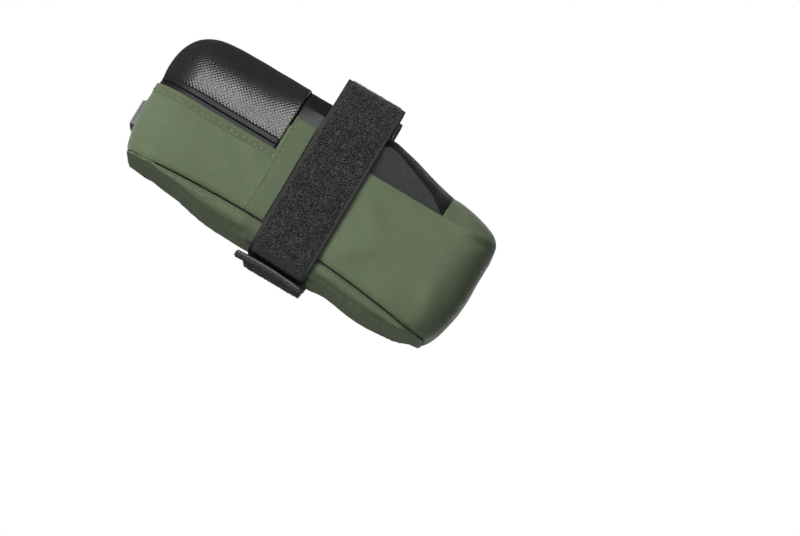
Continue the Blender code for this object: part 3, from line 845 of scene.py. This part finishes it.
def ribbon(name, path, outwards, across, width, thickness, *materials, groove=None):
    """A flat band: a closed, slightly rounded section swept along a path.

    path holds points, outwards the face's direction at each, across the width's direction, and
    groove the place across the width where a row of stitches sinks in.
    """
    edge = thickness / 2.0
    steps, edge_steps = 24, 4
    section = []
    for i in range(steps + 1):
        s = mix(-width / 2.0 + edge, width / 2.0 - edge, i / steps)
        sunk = 0.28 * bell(s, groove, 0.45) if groove is not None else 0.0
        section.append((s, edge - sunk))
    for i in range(1, edge_steps):
        angle = math.pi / 2.0 - math.pi * i / edge_steps
        section.append((width / 2.0 - edge + edge * math.cos(angle), edge * math.sin(angle)))
    section += [(-s, -edge if i <= steps else -t) for i, (s, t) in enumerate(section)]
    bm = bmesh.new()
    uv = bm.loops.layers.uv.new("cloth")
    rings = []
    for point, out, side in zip(path, outwards, across):
        rings.append([bm.verts.new((point + side * s + out * t) * MM) for s, t in section])
    marks = lengths(path)
    for i in range(len(rings) - 1):
        for j in range(len(section)):
            corners = ((i, j), (i, j + 1), (i + 1, j + 1), (i + 1, j))
            corners = [(ring, place % len(section)) for ring, place in corners]
            face = bm.faces.new([rings[ring][place] for ring, place in corners])
            for loop, (ring, place) in zip(face.loops, corners):
                loop[uv].uv = (marks[ring] * UV_PER_MM, section[place][0] * UV_PER_MM)
    bm.faces.new(rings[0])
    bm.faces.new(list(reversed(rings[-1])))
    return finished_piece(bm, name, *materials, quads_only=True)


def outline_normals(outline):
    """The outward direction at each point of an outline."""
    normals = []
    for i, (x, y) in enumerate(outline):
        a, b = Vector(outline[max(0, i - 1)]), Vector(outline[min(len(outline) - 1, i + 1)])
        along = (b - a).normalized()
        out = Vector((along.y, -along.x))
        if out.dot(Vector((x - spine(x), y))) < 0.0:
            out = -out
        normals.append(Vector((out.x, out.y, 0.0)))
    return normals


def seam_binding():
    """The tape that covers the bottom seam on the inside, all the way round."""
    lift, inset, width, thickness = 1.3, 2.4, 3.6, 0.6
    outline = closed_outline()
    outline.append(outline[0])
    path = [Vector(wall_point(point, seam_z(point[0]) + lift, inset)) for point in outline]
    outs = outline_normals(outline)
    binding = ribbon("seam_binding", path, outs, [UP] * len(path), width, thickness, LINING)
    assign(binding, "lining", "bag", "bottom_seam_binding")


def surface_tree(*objects):
    """A search tree over the outer faces of finished shells."""
    verts, faces = [], []
    for obj in objects:
        start = len(verts)
        verts += [v.co.copy() for v in obj.data.vertices]
        faces += [[start + i for i in p.vertices] for p in obj.data.polygons if p.material_index == 0]
    return BVHTree.FromPolygons(verts, faces)


def on_surface(tree, point, direction, lift):
    """Drops a point in millimetres onto a surface along a direction, and lifts it off again."""
    out = Vector(direction).normalized()
    reach = 12.0
    origin = (Vector(point) + out * reach) * MM
    hit, normal, _, _ = tree.ray_cast(origin, -out)
    if hit is None:
        hit, normal, _, _ = tree.find_nearest(Vector(point) * MM)
    if normal.dot(out) < 0.0:
        normal = -normal
    return hit / MM + normal * lift, normal


def add_tube(bm, rings):
    """Joins rings of vertices into a tube with closed ends."""
    count = len(rings[0])
    for a, b in zip(rings, rings[1:]):
        for k in range(count):
            n = (k + 1) % count
            bm.faces.new((a[k], a[n], b[n], b[k]))
    bm.faces.new(list(reversed(rings[0])))
    bm.faces.new(rings[-1])


def stitches(name, path, normals, thread, pitch=3.0, length=2.1, radius=0.25, sink=0.12):
    """A row of thread stitches along a path: short arcs whose ends dip into the fabric."""
    steps, sides = 5, 6
    bm = bmesh.new()
    run = lengths(path)

    def at(place):
        i, share = step_at(run, clamp(place, 0.0, run[-1]))
        return path[i].lerp(path[i + 1], share), normals[i].lerp(normals[i + 1], share)

    start = 0.4
    while start + length < run[-1]:
        rings = []
        for i in range(steps + 1):
            share = i / steps
            middle = start + length * share
            point, out = at(middle)
            along = (at(middle + 0.05)[0] - at(middle - 0.05)[0]).normalized()
            side = along.cross(out).normalized()
            arch = math.sin(math.pi * share) ** 0.6
            centre = point + out * (radius * 0.75 * arch - sink * (1.0 - arch) * 2.5)
            size = radius * mix(0.55, 1.0, arch)
            ring = []
            for k in range(sides):
                angle = TURN * k / sides
                offset = side * math.cos(angle) * size + out * math.sin(angle) * size
                ring.append(bm.verts.new((centre + offset) * MM))
            rings.append(ring)
        add_tube(bm, rings)
        start += pitch
    return finished_piece(bm, name, thread)


def follow_wall(tree, outline, z, lift):
    """Points and normals along the wall at height z, on the finished shell."""
    spots = []
    for point, out in zip(outline, outline_normals(outline)):
        spots.append(on_surface(tree, wall_point(point, z), out, lift))
    return [spot for spot, _ in spots], [normal for _, normal in spots]


def zip_hem(walls):
    """The folded green hem under the zip, with its row of stitches."""
    middle_z, width, thickness, stitch_row = -34.75, 4.4, 0.9, -0.5
    path, normals = follow_wall(walls, rear_outline(BAND_REAR + 1.5), -34.8, 0.12)
    outs = [Vector((n.x, n.y, 0.0)).normalized() for n in normals]
    path = [Vector((p.x, p.y, middle_z)) for p in path]
    hem = ribbon("zip_hem", path, outs, [UP] * len(path), width, thickness, GREEN_BAND, groove=stitch_row)
    assign(hem, "green_fabric", "bag")
    seam_path = [p + n * STITCH_LIFT + UP * stitch_row for p, n in zip(path, outs)]
    assign(stitches("zip_hem_stitches", seam_path, outs, GREEN_THREAD), "green_fabric", "bag")


def zip_tapes():
    """The smooth zip tapes, whose lips meet over the coils."""
    lip_gap, inset, thickness = 0.12, 0.75, 0.8
    outline = rear_outline(LID_FRONT - 0.2)
    outs = outline_normals(outline)
    for side, low, high, body in (("lower", -35.0, SLIT_Z - lip_gap, "bag"),
                                  ("upper", SLIT_Z + lip_gap, WALL_TOP + 1.4, "bend")):
        path = [Vector(wall_point(point, (low + high) / 2.0, inset)) for point in outline]
        tape = ribbon(side + "_tape", path, outs, [UP] * len(path), high - low, thickness, ZIP_TAPE)
        assign(tape, "zip_tape", body, side + "_zip_tape")


def zip_coils():
    """Each coil: a continuous nylon helix behind the tape's lip."""
    outline = rear_outline(-28.6)
    normals = outline_normals(outline)
    run = lengths(outline)
    pitch, per_turn = 1.3, 8
    steps = int(run[-1] / pitch * per_turn)
    centres = []
    j = 0
    for i in range(steps + 1):
        j, share = step_at(run, run[-1] * i / steps, j)
        point = Vector(outline[j]).lerp(Vector(outline[j + 1]), share)
        centres.append((point, normals[j].lerp(normals[j + 1], share).normalized()))
    for side, z, body in (("lower", SLIT_Z - 0.62, "bag"), ("upper", SLIT_Z + 0.62, "bend")):
        name = side + "_coil"
        curve = bpy.data.curves.new(name, "CURVE")
        curve.dimensions = "3D"
        curve.bevel_depth = 0.2 * MM
        curve.bevel_resolution = 1
        curve.use_fill_caps = True
        spline = curve.splines.new("POLY")
        spline.points.add(len(centres) - 1)
        for i, (point, out) in enumerate(centres):
            angle = TURN * i / per_turn
            spot = Vector((point.x, point.y, z)) - out * (2.35 + 0.62 * math.cos(angle))
            spot.z += 0.42 * math.sin(angle)
            spline.points[i].co = (*(spot * MM), 1.0)
        coil = link(bpy.data.objects.new(name, curve))
        mesh = bpy.data.meshes.new_from_object(coil.evaluated_get(bpy.context.evaluated_depsgraph_get()))
        bpy.data.objects.remove(coil)
        mesh.materials.clear()
        assign(new_object(name, shade_smooth(mesh), COIL), "zip_coil", body, side + "_zip_coil")


def bands(walls):
    """The green reinforcement bands beside the strap, each with stitches inside its rear edge."""
    x = (BAND_REAR + BAND_FRONT) / 2.0
    width, thickness, top_z, steps = BAND_FRONT - BAND_REAR, 0.9, -15.2, 26
    stitch_row = -width / 2.0 + 1.9
    half_width = side_half_width(x)
    for name, side in (("right", -1.0), ("left", 1.0)):
        path, outs = [], []
        for i in range(steps + 1):
            z = mix(seam_z(x) + 0.4, top_z, i / steps)
            spot, normal = on_surface(walls, (x, side * half_width, max(z, -64.0)), (0.05, side, 0.0), 0.6)
            if z > SIDE_TOP - 0.8:
                spot = Vector((x, path[-1].y - side * 0.10, z))
                normal = outs[-1]
            spot.z = z
            path.append(spot)
            outs.append(Vector((normal.x, normal.y, 0.0)).normalized())
        across = Vector((1.0, side * (side_half_width(x + 1.0) - half_width), 0.0)).normalized()
        band = ribbon(name + "_band", path, outs, [across] * len(path), width, thickness, GREEN_BAND,
                      groove=stitch_row)
        assign(band, "green_fabric", "bag", name + "_reinforcement_band")
        to_row = Vector((stitch_row, 0.0, 0.0))
        slope = Vector((0.0, (side_half_width(x + stitch_row) - half_width) * side, 0.0))
        row_path = [spot + out * STITCH_LIFT + to_row + slope for spot, out in zip(path, outs)]
        assign(stitches(name + "_band_stitches", row_path, outs, GREEN_THREAD), "green_fabric", "bag")


# The strap

def strap_section(x):
    """The strap's inner face round the bag at x, as (y, z), from the bottom's middle up to the top's."""
    points, clear, half = [], 0.5, side_half_width(x)
    for rise in (1.0, 0.97, 0.9, 0.75, 0.45, 0.15):
        y = wall_point((x, -half), seam_z(x), -clear)[1]
        base = seam_z(x) - 1.5
        points.append((y * drawn_close(rise), base + (bottom_z(x) - base) * rise - 2.0 * clear))
    points += [(wall_point((x, -half), z, -clear)[1], z) for z in (-60.0, -48.0, -38.0)]
    points += [(-(half + 0.4), z) for z in (WALL_TOP, -20.0)]
    points += [(-(half + 0.1), -13.0), (-(half - 0.7), -8.0)]
    points += [(-29.0, 1.0), (-27.4, 8.6), (-25.2, 10.2), (-18.8, 10.2), (-17.2, 8.4), (-16.0, 2.6)]
    points += [(-13.2, 0.9), (0.0, 0.9)]
    return points


def smooth_ring(points, spacing):
    """A closed ring through points, as a smooth curve with even steps."""
    steps = 12
    curve = []
    for i in range(len(points)):
        p0, p1, p2, p3 = (Vector(points[(i + k - 1) % len(points)]) for k in range(4))
        for s in range(steps):
            t = s / steps
            curve.append(0.5 * ((2.0 * p1) + (p2 - p0) * t + (2.0 * p0 - 5.0 * p1 + 4.0 * p2 - p3) * t * t
                                + (3.0 * p1 - p0 - 3.0 * p2 + p3) * t ** 3))
    run = lengths(curve + curve[:1])
    count = round(run[-1] / spacing)
    result, j = [], 0
    for i in range(count):
        j, share = step_at(run, run[-1] * i / count, j)
        result.append(curve[j].lerp(curve[(j + 1) % len(curve)], share))
    return result


def pile_relief(point, edge_distance):
    """The height of the loop pile, clumped, fading to the flat selvedge."""
    clump = wavy(point, 0.9, 1.0) + 0.8 * wavy(point, 0.5, 7.0) + 0.25 * wavy(point, 2.4, 9.0)
    return (0.24 + 0.26 * clump) * smooth(edge_distance, 1.3, 2.4)


def fibres(name, spots, count, seed, thread, size=0.055, reach=0.75):
    """Fine bent loops standing on a pile surface. spots holds (point, normal) pairs in millimetres."""
    rng = random.Random(seed)
    steps = 4
    bm = bmesh.new()
    for _ in range(count):
        point, out = spots[rng.randrange(len(spots))]
        turn_angle = rng.uniform(0.0, TURN)
        side = out.orthogonal().normalized()
        other = out.cross(side)
        lean = side * math.cos(turn_angle) + other * math.sin(turn_angle)
        span = rng.uniform(0.35, 1.0) * reach
        height = rng.uniform(0.25, 1.0) * reach * 0.75
        start = point + side * rng.uniform(-0.4, 0.4) + other * rng.uniform(-0.4, 0.4)
        width, up = lean.cross(out) * size, out * size
        offsets = (width, -width * 0.5 + up * 0.87, -width * 0.5 - up * 0.87)
        rings = []
        for i in range(steps + 1):
            share = i / steps
            centre = start + lean * span * (share - 0.5) + out * (height * math.sin(math.pi * share) - 0.15)
            rings.append([bm.verts.new((centre + offset) * MM) for offset in offsets])
        add_tube(bm, rings)
    return finished_piece(bm, name, thread)


def strap_band():
    """The strap: one ring of loop pile with a flat selvedge along both edges."""
    thickness, selvedge, selvedge_slot = 1.6, 2.0, 2
    spacing = detail(0.75, 1.5)
    columns = round(2.0 * STRAP_HALF / spacing)
    sections = []
    for x in (-STRAP_HALF, -STRAP_HALF / 3.0, STRAP_HALF / 3.0, STRAP_HALF):
        half = strap_section(x)
        sections.append(half + [(-y, z) for y, z in reversed(half[1:-1])])
    rows, count = [], 0
    for i in range(columns + 1):
        x = mix(-STRAP_HALF, STRAP_HALF, i / columns)
        place = (x + STRAP_HALF) / (2.0 * STRAP_HALF) * 3.0
        k = min(2, int(place))
        ring = [tuple(Vector(a).lerp(Vector(b), place - k)) for a, b in zip(sections[k], sections[k + 1])]
        fine = smooth_ring(ring, spacing)
        count = count or len(fine)
        last = len(fine) - 1
        fine = [fine[min(last, round(j * len(fine) / count))] for j in range(count)]
        rows.append([(x, p.x, p.y) for p in fine])
    cloth = Cloth()
    marks = [[(j * spacing, i * spacing) for j in range(count)] for i in range(len(rows))]
    cloth.add(rows, marks, closed=True)
    obj = new_object("strap_band", cloth.mesh("strap_band"), PILE, HOOKS, SELVEDGE)
    thicken(obj, thickness, inner_slot=1, offset=1.0, subdivide=0)
    mesh = obj.data
    for polygon in mesh.polygons:
        nearest = min(abs(mesh.vertices[i].co.x) / MM for i in polygon.vertices)
        on_rim = nearest > STRAP_HALF - 0.01
        if on_rim or polygon.material_index == 0 and nearest > STRAP_HALF - selvedge:
            polygon.material_index = selvedge_slot
    return obj, mesh


def strap_pieces():
    """The strap with its raised pile, and the loose loops that stand on it."""
    obj, mesh = strap_band()
    pile_points = {i for p in mesh.polygons if p.material_index == 0 for i in p.vertices}
    normals = {i: mesh.vertices[i].normal.copy() for i in pile_points}
    for i in pile_points:
        vertex = mesh.vertices[i]
        point = vertex.co / MM
        vertex.co += normals[i] * pile_relief(point, STRAP_HALF - abs(point.x)) * MM
    assign(obj, "strap_loop", "bag", "strap")
    pile = [p for p in mesh.polygons if p.material_index == 0]
    spots = [(p.center / MM, p.normal.copy()) for p in pile if abs(p.center.x / MM) < STRAP_HALF - 1.9]
    # The tips' loops are light grey: painted glints on the black loops.
    for name, seed, thread in (("strap_fuzz", 5, PILE), ("strap_tips_painted_glint", 6, PILE_TIPS_PAINTED_GLINT)):
        assign(fibres(name, spots, detail(8000, 3000), seed, thread), "strap_loop", "bag")


def slab(name, low, high, corner, bend, spacing, *materials):
    """A padded flat piece between two corners, with rounded edges, bent by bend(x, y, z)."""
    bm = bmesh.new()
    size = Vector(high) - Vector(low)
    middle = (Vector(high) + Vector(low)) / 2.0
    bmesh.ops.create_cube(bm, size=1.0, matrix=Matrix.Translation(middle) @ Matrix.Diagonal((*size, 1.0)))
    bmesh.ops.bevel(bm, geom=bm.edges[:], offset=corner, segments=3, profile=0.5, affect="EDGES")
    uv = bm.loops.layers.uv.new("cloth")
    for axis in range(3):
        cuts = int(size[axis] / spacing)
        for i in range(1, cuts):
            at = low[axis] + size[axis] * i / cuts
            normal = Vector([1.0 if k == axis else 0.0 for k in range(3)])
            geom = bm.verts[:] + bm.edges[:] + bm.faces[:]
            bmesh.ops.bisect_plane(bm, geom=geom, plane_co=normal * at, plane_no=normal)
    for face in bm.faces:
        for loop in face.loops:
            loop[uv].uv = loop.vert.co.xy * UV_PER_MM
    for vertex in bm.verts:
        vertex.co = Vector(bend(*vertex.co)) * MM
    return finished_piece(bm, name, *materials)


def strap_end():
    """The strap's loose end under the bag: pile below, hooks above, and a folded, sewn tip."""
    low, high = node_box("strap_tail")

    def droop(y):
        return 0.5 * clamp((TAIL_HINGE_Y - y) / 43.0) ** 1.6

    def flat(x, y, z):
        skew = (y - high.y) / (low.y - high.y)
        return (x - 1.2 * skew, y, z - droop(y))

    tail = slab("strap_end_band", (low.x, low.y - 0.5, low.z), high, 0.5, flat, detail(0.8, 1.6), PILE)
    mesh = tail.data
    moves = {}
    for vertex in mesh.vertices:
        if vertex.normal.z < -0.7:
            point = vertex.co / MM
            moves[vertex.index] = vertex.normal * pile_relief(point, STRAP_HALF - abs(point.x)) * 0.8 * MM
    for index, move in moves.items():
        mesh.vertices[index].co += move
    assign(tail, "strap_loop", "strap_end", "strap_tail")
    spots = [(p.center / MM, p.normal.copy()) for p in mesh.polygons if p.normal.z < -0.6]
    assign(fibres("strap_end_fuzz", spots, detail(1500, 500), 9, PILE), "strap_loop", "strap_end")

    def hang(x, y, z):
        return (x, y, z - droop(y))

    hooks = slab("strap_hooks", *node_box("strap_hook_patch"), 0.12, hang, 2.0, HOOKS)
    assign(hooks, "strap_hooks", "strap_end", "strap_hook_patch")

    low, high = node_box("strap_tail_hem")

    def bow(x, y, z):
        share = (x - low.x) / (high.x - low.x)
        sag = 0.9 * math.sin(math.pi * share) - 0.8 * share - droop(y)
        return (x, y + 0.25 * wavy((x, y, z), 6.0), z + sag + 0.12 * wavy((x, y, z), 2.0, 4.0))

    hem = slab("strap_end_hem", low, high, 1.1, bow, 1.0, SELVEDGE)
    assign(hem, "strap_loop", "strap_end", "strap_tail_hem")
    stitch_xs = [mix(low.x + 0.6, high.x - 0.6, i / 32.0) for i in range(33)]
    path = [Vector(bow(x, low.y - 0.1, high.z - 0.9)) for x in stitch_xs]
    out = Vector((0.0, -1.0, 0.15)).normalized()
    row = stitches("strap_end_stitches", path, [out] * len(path), GREY_THREAD, pitch=1.5, length=1.35,
                   radius=0.26, sink=0.1)
    assign(row, "strap_loop", "strap_end")
    tip = [Vector(bow(mix(low.x, high.x, i / 60.0), low.y + 0.4, low.z + 0.5)) for i in range(61)]
    fluff = [(point, Vector((0.0, -0.7, -0.7))) for point in tip]
    assign(fibres("strap_end_fringe", fluff, 500, 12, PILE, reach=0.8), "strap_loop", "strap_end")


def anchor_patch():
    """The patch that holds the strap on the bag's top, sewn round and across."""
    low, high = node_box("strap_anchor_patch")

    def bend(x, y, z):
        return (x, y, z + 0.1 * wavy((x, y, 0.0), 8.0))

    patch = slab("anchor_patch", low, high, 0.25, bend, 2.0, SELVEDGE)
    assign(patch, "strap_loop", "bag", "strap_anchor_patch")
    rear, front, right, left = low.x + 1.6, high.x - 1.6, low.y + 1.6, high.y - 1.6
    corners = [(rear, right), (front, right), (front, left), (rear, left), (rear, right), (front, left)]
    path = [Vector((x, y, high.z + 0.05)) for x, y in corners]
    row = stitches("anchor_stitches", path, [UP] * len(path), BLACK_THREAD, pitch=2.6, length=2.0)
    assign(row, "strap_loop", "bag")


def light_loop():
    """The webbing loop on the rear face, sewn down at both ends."""
    low, high = node_box("rear_light_loop")
    corners = ((-85.9, -20.0), (-86.0, -16.6), (-87.7, -13.2), (-87.75, -6.0), (-87.75, 0.0))
    path = [Vector(corner) for corner in corners + tuple((x, -y) for x, y in reversed(corners[:-1]))]
    dense = []
    for a, b in zip(path, path[1:]):
        dense += [a.lerp(b, i / 6.0) for i in range(6)]
    dense.append(path[-1])
    for _ in range(3):
        softer = [(a + b * 2.0 + c) / 4.0 for a, b, c in zip(dense, dense[1:], dense[2:])]
        dense = [dense[0]] + softer + [dense[-1]]
    points = [Vector((p.x, p.y, (low.z + high.z) / 2.0)) for p in dense]
    outs = []
    for i in range(len(points)):
        run = (points[min(i + 1, len(points) - 1)] - points[max(0, i - 1)]).normalized()
        out = Vector((run.y, -run.x, 0.0))
        outs.append(out if out.x < 0.0 else -out)
    loop = ribbon("light_loop", points, outs, [UP] * len(points), high.z - low.z, 0.9, LOOP_WEB)
    assign(loop, "webbing_grey", "bag", "rear_light_loop")
    rearward = Vector((-1.0, 0.0, 0.0))
    for name, side in (("right", -1.0), ("left", 1.0)):
        path = [Vector((-86.45, side * 18.6, mix(low.z + 0.8, high.z - 0.8, i / 8.0))) for i in range(9)]
        row = stitches("light_loop_stitches_" + name, path, [rearward] * len(path), BLACK_THREAD, pitch=1.7,
                       length=1.3)
        assign(row, "webbing_grey", "bag")


def declare_sheet(name, flat, *extras, held="stretched", **settings):
    """Gathers the pieces sewn on one sheet and declares nothing; flat, the sheet's flat width and length in
    metres, is not used.
    """
    if extras:
        settings["with_pieces"] = [bpy.data.objects[extra] for extra in extras]


def declare_soft_goods():
    """The flat cut of every sheet, passed to declare_sheet, which declares nothing; no foam pads are listed
    here.
    """
    declare_sheet("green_walls", (0.062, 0.440), "zip_hem", "zip_hem_stitches", "lower_tape", area=0.0200)
    declare_sheet("bottom_shell", (0.085, 0.165), "seam_binding", area=0.0120)
    declare_sheet("lid_shell", (0.100, 0.105), "upper_tape", area=0.0080)
    declare_sheet("top_shell", (0.085, 0.100), area=0.0072)
    for side in ("right", "left"):
        declare_sheet(side + "_band", (0.0107, 0.047), side + "_band_stitches")
    declare_sheet("strap_band", (0.0286, 0.306), "strap_fuzz", "strap_tips_painted_glint", rests_on=["green_walls"])
    declare_sheet("strap_end_band", (0.0286, 0.038), "strap_end_hem", "strap_end_stitches",
                  "strap_end_fringe", "strap_end_fuzz", held="laid", rests_on=["strap_band"])
    declare_sheet("strap_hooks", (0.026, 0.030), held="laid", rests_on=["strap_band"])
    declare_sheet("anchor_patch", (0.020, 0.022), "anchor_stitches", held="laid", rests_on=["strap_band"])
    declare_sheet("light_loop", (0.012, 0.042), "light_loop_stitches_right", "light_loop_stitches_left")


def carried_over():
    """Materials for the CAD nodes that stay as they are."""
    finishes = {
        "right_side_foam": FOAM, "left_side_foam": FOAM,
        "right_zip_stop": METAL, "left_zip_stop": METAL, "zip_slider": METAL, "zip_pull_tab": METAL,
    }
    for name, finish in finishes.items():
        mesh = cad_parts[name].data
        if not mesh.materials:
            mesh.materials.append(finish)
        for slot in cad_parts[name].material_slots:
            slot.material = finish


# Light, floor and camera

# The bag hangs nose down in the picture. The camera is rolled by that angle, stands far off, looks
# from slightly below and behind, and shows PX_PER_MM pixels for each millimetre of the bag.
PX_PER_MM = 2.3
NOSE_DOWN = math.radians(30.6)
ELEVATION = math.radians(-6.0)
FROM_REAR = math.radians(1.6)
DISTANCE = 2600.0
PICTURE_WIDTH_PX = 800.0
SENSOR_WIDTH = 36.0
FLOOR_Z = -500.0
FLOOR_RADIUS = 4000.0
FLOOR_GLOW = 0.72
SURROUND_LIGHT = 0.09
AIM = Vector((47.3, -34.0, -49.4))


def studio_frame():
    """The studio's away and up directions, in the bag's own frame."""
    level = Vector((math.cos(NOSE_DOWN), 0.0, math.sin(NOSE_DOWN)))
    up = Vector((-math.sin(NOSE_DOWN), 0.0, math.cos(NOSE_DOWN)))
    return Vector((0.0, 1.0, 0.0)) * math.cos(FROM_REAR) + level * math.sin(FROM_REAR), up


def look_matrix(position, target, up):
    back = (position - target).normalized()
    side = up.cross(back).normalized()
    true_up = back.cross(side)
    rotation = Matrix((side, true_up, back)).transposed()
    return Matrix.Translation(position) @ rotation.to_4x4()


def add_camera():
    away, up = studio_frame()
    forward = away * math.cos(ELEVATION) - up * math.sin(ELEVATION)
    data = bpy.data.cameras.new("camera")
    data.sensor_width = SENSOR_WIDTH
    data.lens = SENSOR_WIDTH * PX_PER_MM * DISTANCE / PICTURE_WIDTH_PX
    data.clip_start = 0.05
    camera = link(bpy.data.objects.new("camera", data))
    position = (AIM - forward * DISTANCE) * MM
    camera.matrix_world = look_matrix(position, AIM * MM, up)
    bpy.context.scene.camera = camera


def add_light(name, direction, distance, size, power, shiny=False):
    """A soft light, size millimetres wide and high, in a direction given in the bag's own frame."""
    aim = Vector((0.0, 0.0, -30.0)) * MM
    position = aim + Vector(direction).normalized() * distance * MM
    data = bpy.data.lights.new(name, "AREA")
    data.shape = "RECTANGLE"
    data.size = size[0] * MM
    data.size_y = size[1] * MM
    data.energy = power
    light = link(bpy.data.objects.new(name, data))
    light.visible_glossy = shiny
    light.matrix_world = look_matrix(position, aim, UP)
    return light


def add_world():
    """A white surround for the camera, and a softer one for the light that falls on the bag."""
    world = bpy.data.worlds.new("studio")
    world.use_nodes = True
    tree = world.node_tree
    background = tree.nodes["Background"]
    background.inputs["Color"].default_value = (1.0, 1.0, 1.0, 1.0)
    seen = node(tree, "LightPath", output="Is Camera Ray")
    fill(tree, background.inputs["Strength"], ramp(tree, seen, SURROUND_LIGHT, 1.0))
    bpy.context.scene.world = world


def add_floor():
    """A round pale floor well below the hanging bag, clear when seen from underneath."""
    mesh = bpy.data.meshes.new("floor")
    bm = bmesh.new()
    place = Matrix.Translation((0.0, 0.0, FLOOR_Z * MM))
    bmesh.ops.create_circle(bm, cap_ends=True, segments=96, radius=FLOOR_RADIUS * MM, matrix=place)
    bm.to_mesh(mesh)
    bm.free()
    pale, tree, shader = material("pale_floor", 0.9)
    shade = color_mix(tree, noise_node(tree, 30.0, 3.0), (0.84, 0.84, 0.83), (0.88, 0.88, 0.87))
    fill(tree, shader.inputs["Base Color"], shade)
    fill(tree, shader.inputs["Emission Color"], shade)
    shader.inputs["Emission Strength"].default_value = FLOOR_GLOW
    below = node(tree, "NewGeometry", output="Backfacing")
    clear = node(tree, "BsdfTransparent", output="BSDF")
    either = node(tree, "MixShader", {"Fac": below, 1: shader.outputs["BSDF"], 2: clear}, "Shader")
    fill(tree, tree.nodes["Material Output"].inputs["Surface"], either)
    floor = new_object("floor", mesh, pale)
    floor.visible_diffuse = False
    floor.visible_glossy = False
    floor.visible_shadow = False


def studio():
    add_camera()
    add_world()
    add_floor()
    strip = add_light("strip", (0.02, -0.95, 0.18), 750.0, (560.0, 190.0), 4.8, shiny=True)
    strip.visible_diffuse = False
    add_light("key", (-0.55, -0.80, 0.28), 900.0, (500.0, 400.0), 6.8)
    add_light("rear_side", (-0.8, 0.6, 0.4), 900.0, (500.0, 500.0), 2.2)
    add_light("far_side", (0.5, 1.0, 0.3), 1000.0, (700.0, 500.0), 2.8, shiny=True)
    add_light("front_side", (1.0, 0.4, 0.3), 1000.0, (500.0, 500.0), 0.5)
    add_light("below", (-0.2, -0.5, -1.0), 900.0, (500.0, 500.0), 2.6)
    bpy.context.scene.view_settings.view_transform = "Standard"


def build():
    walls = green_walls()
    bottom_shell()
    base_board()
    seam_binding()
    lid_shell()
    top_shell()
    tree = surface_tree(walls)
    zip_hem(tree)
    zip_tapes()
    zip_coils()
    bands(tree)
    strap_pieces()
    strap_end()
    anchor_patch()
    light_loop()
    carried_over()
    declare_soft_goods()
    studio()


build()
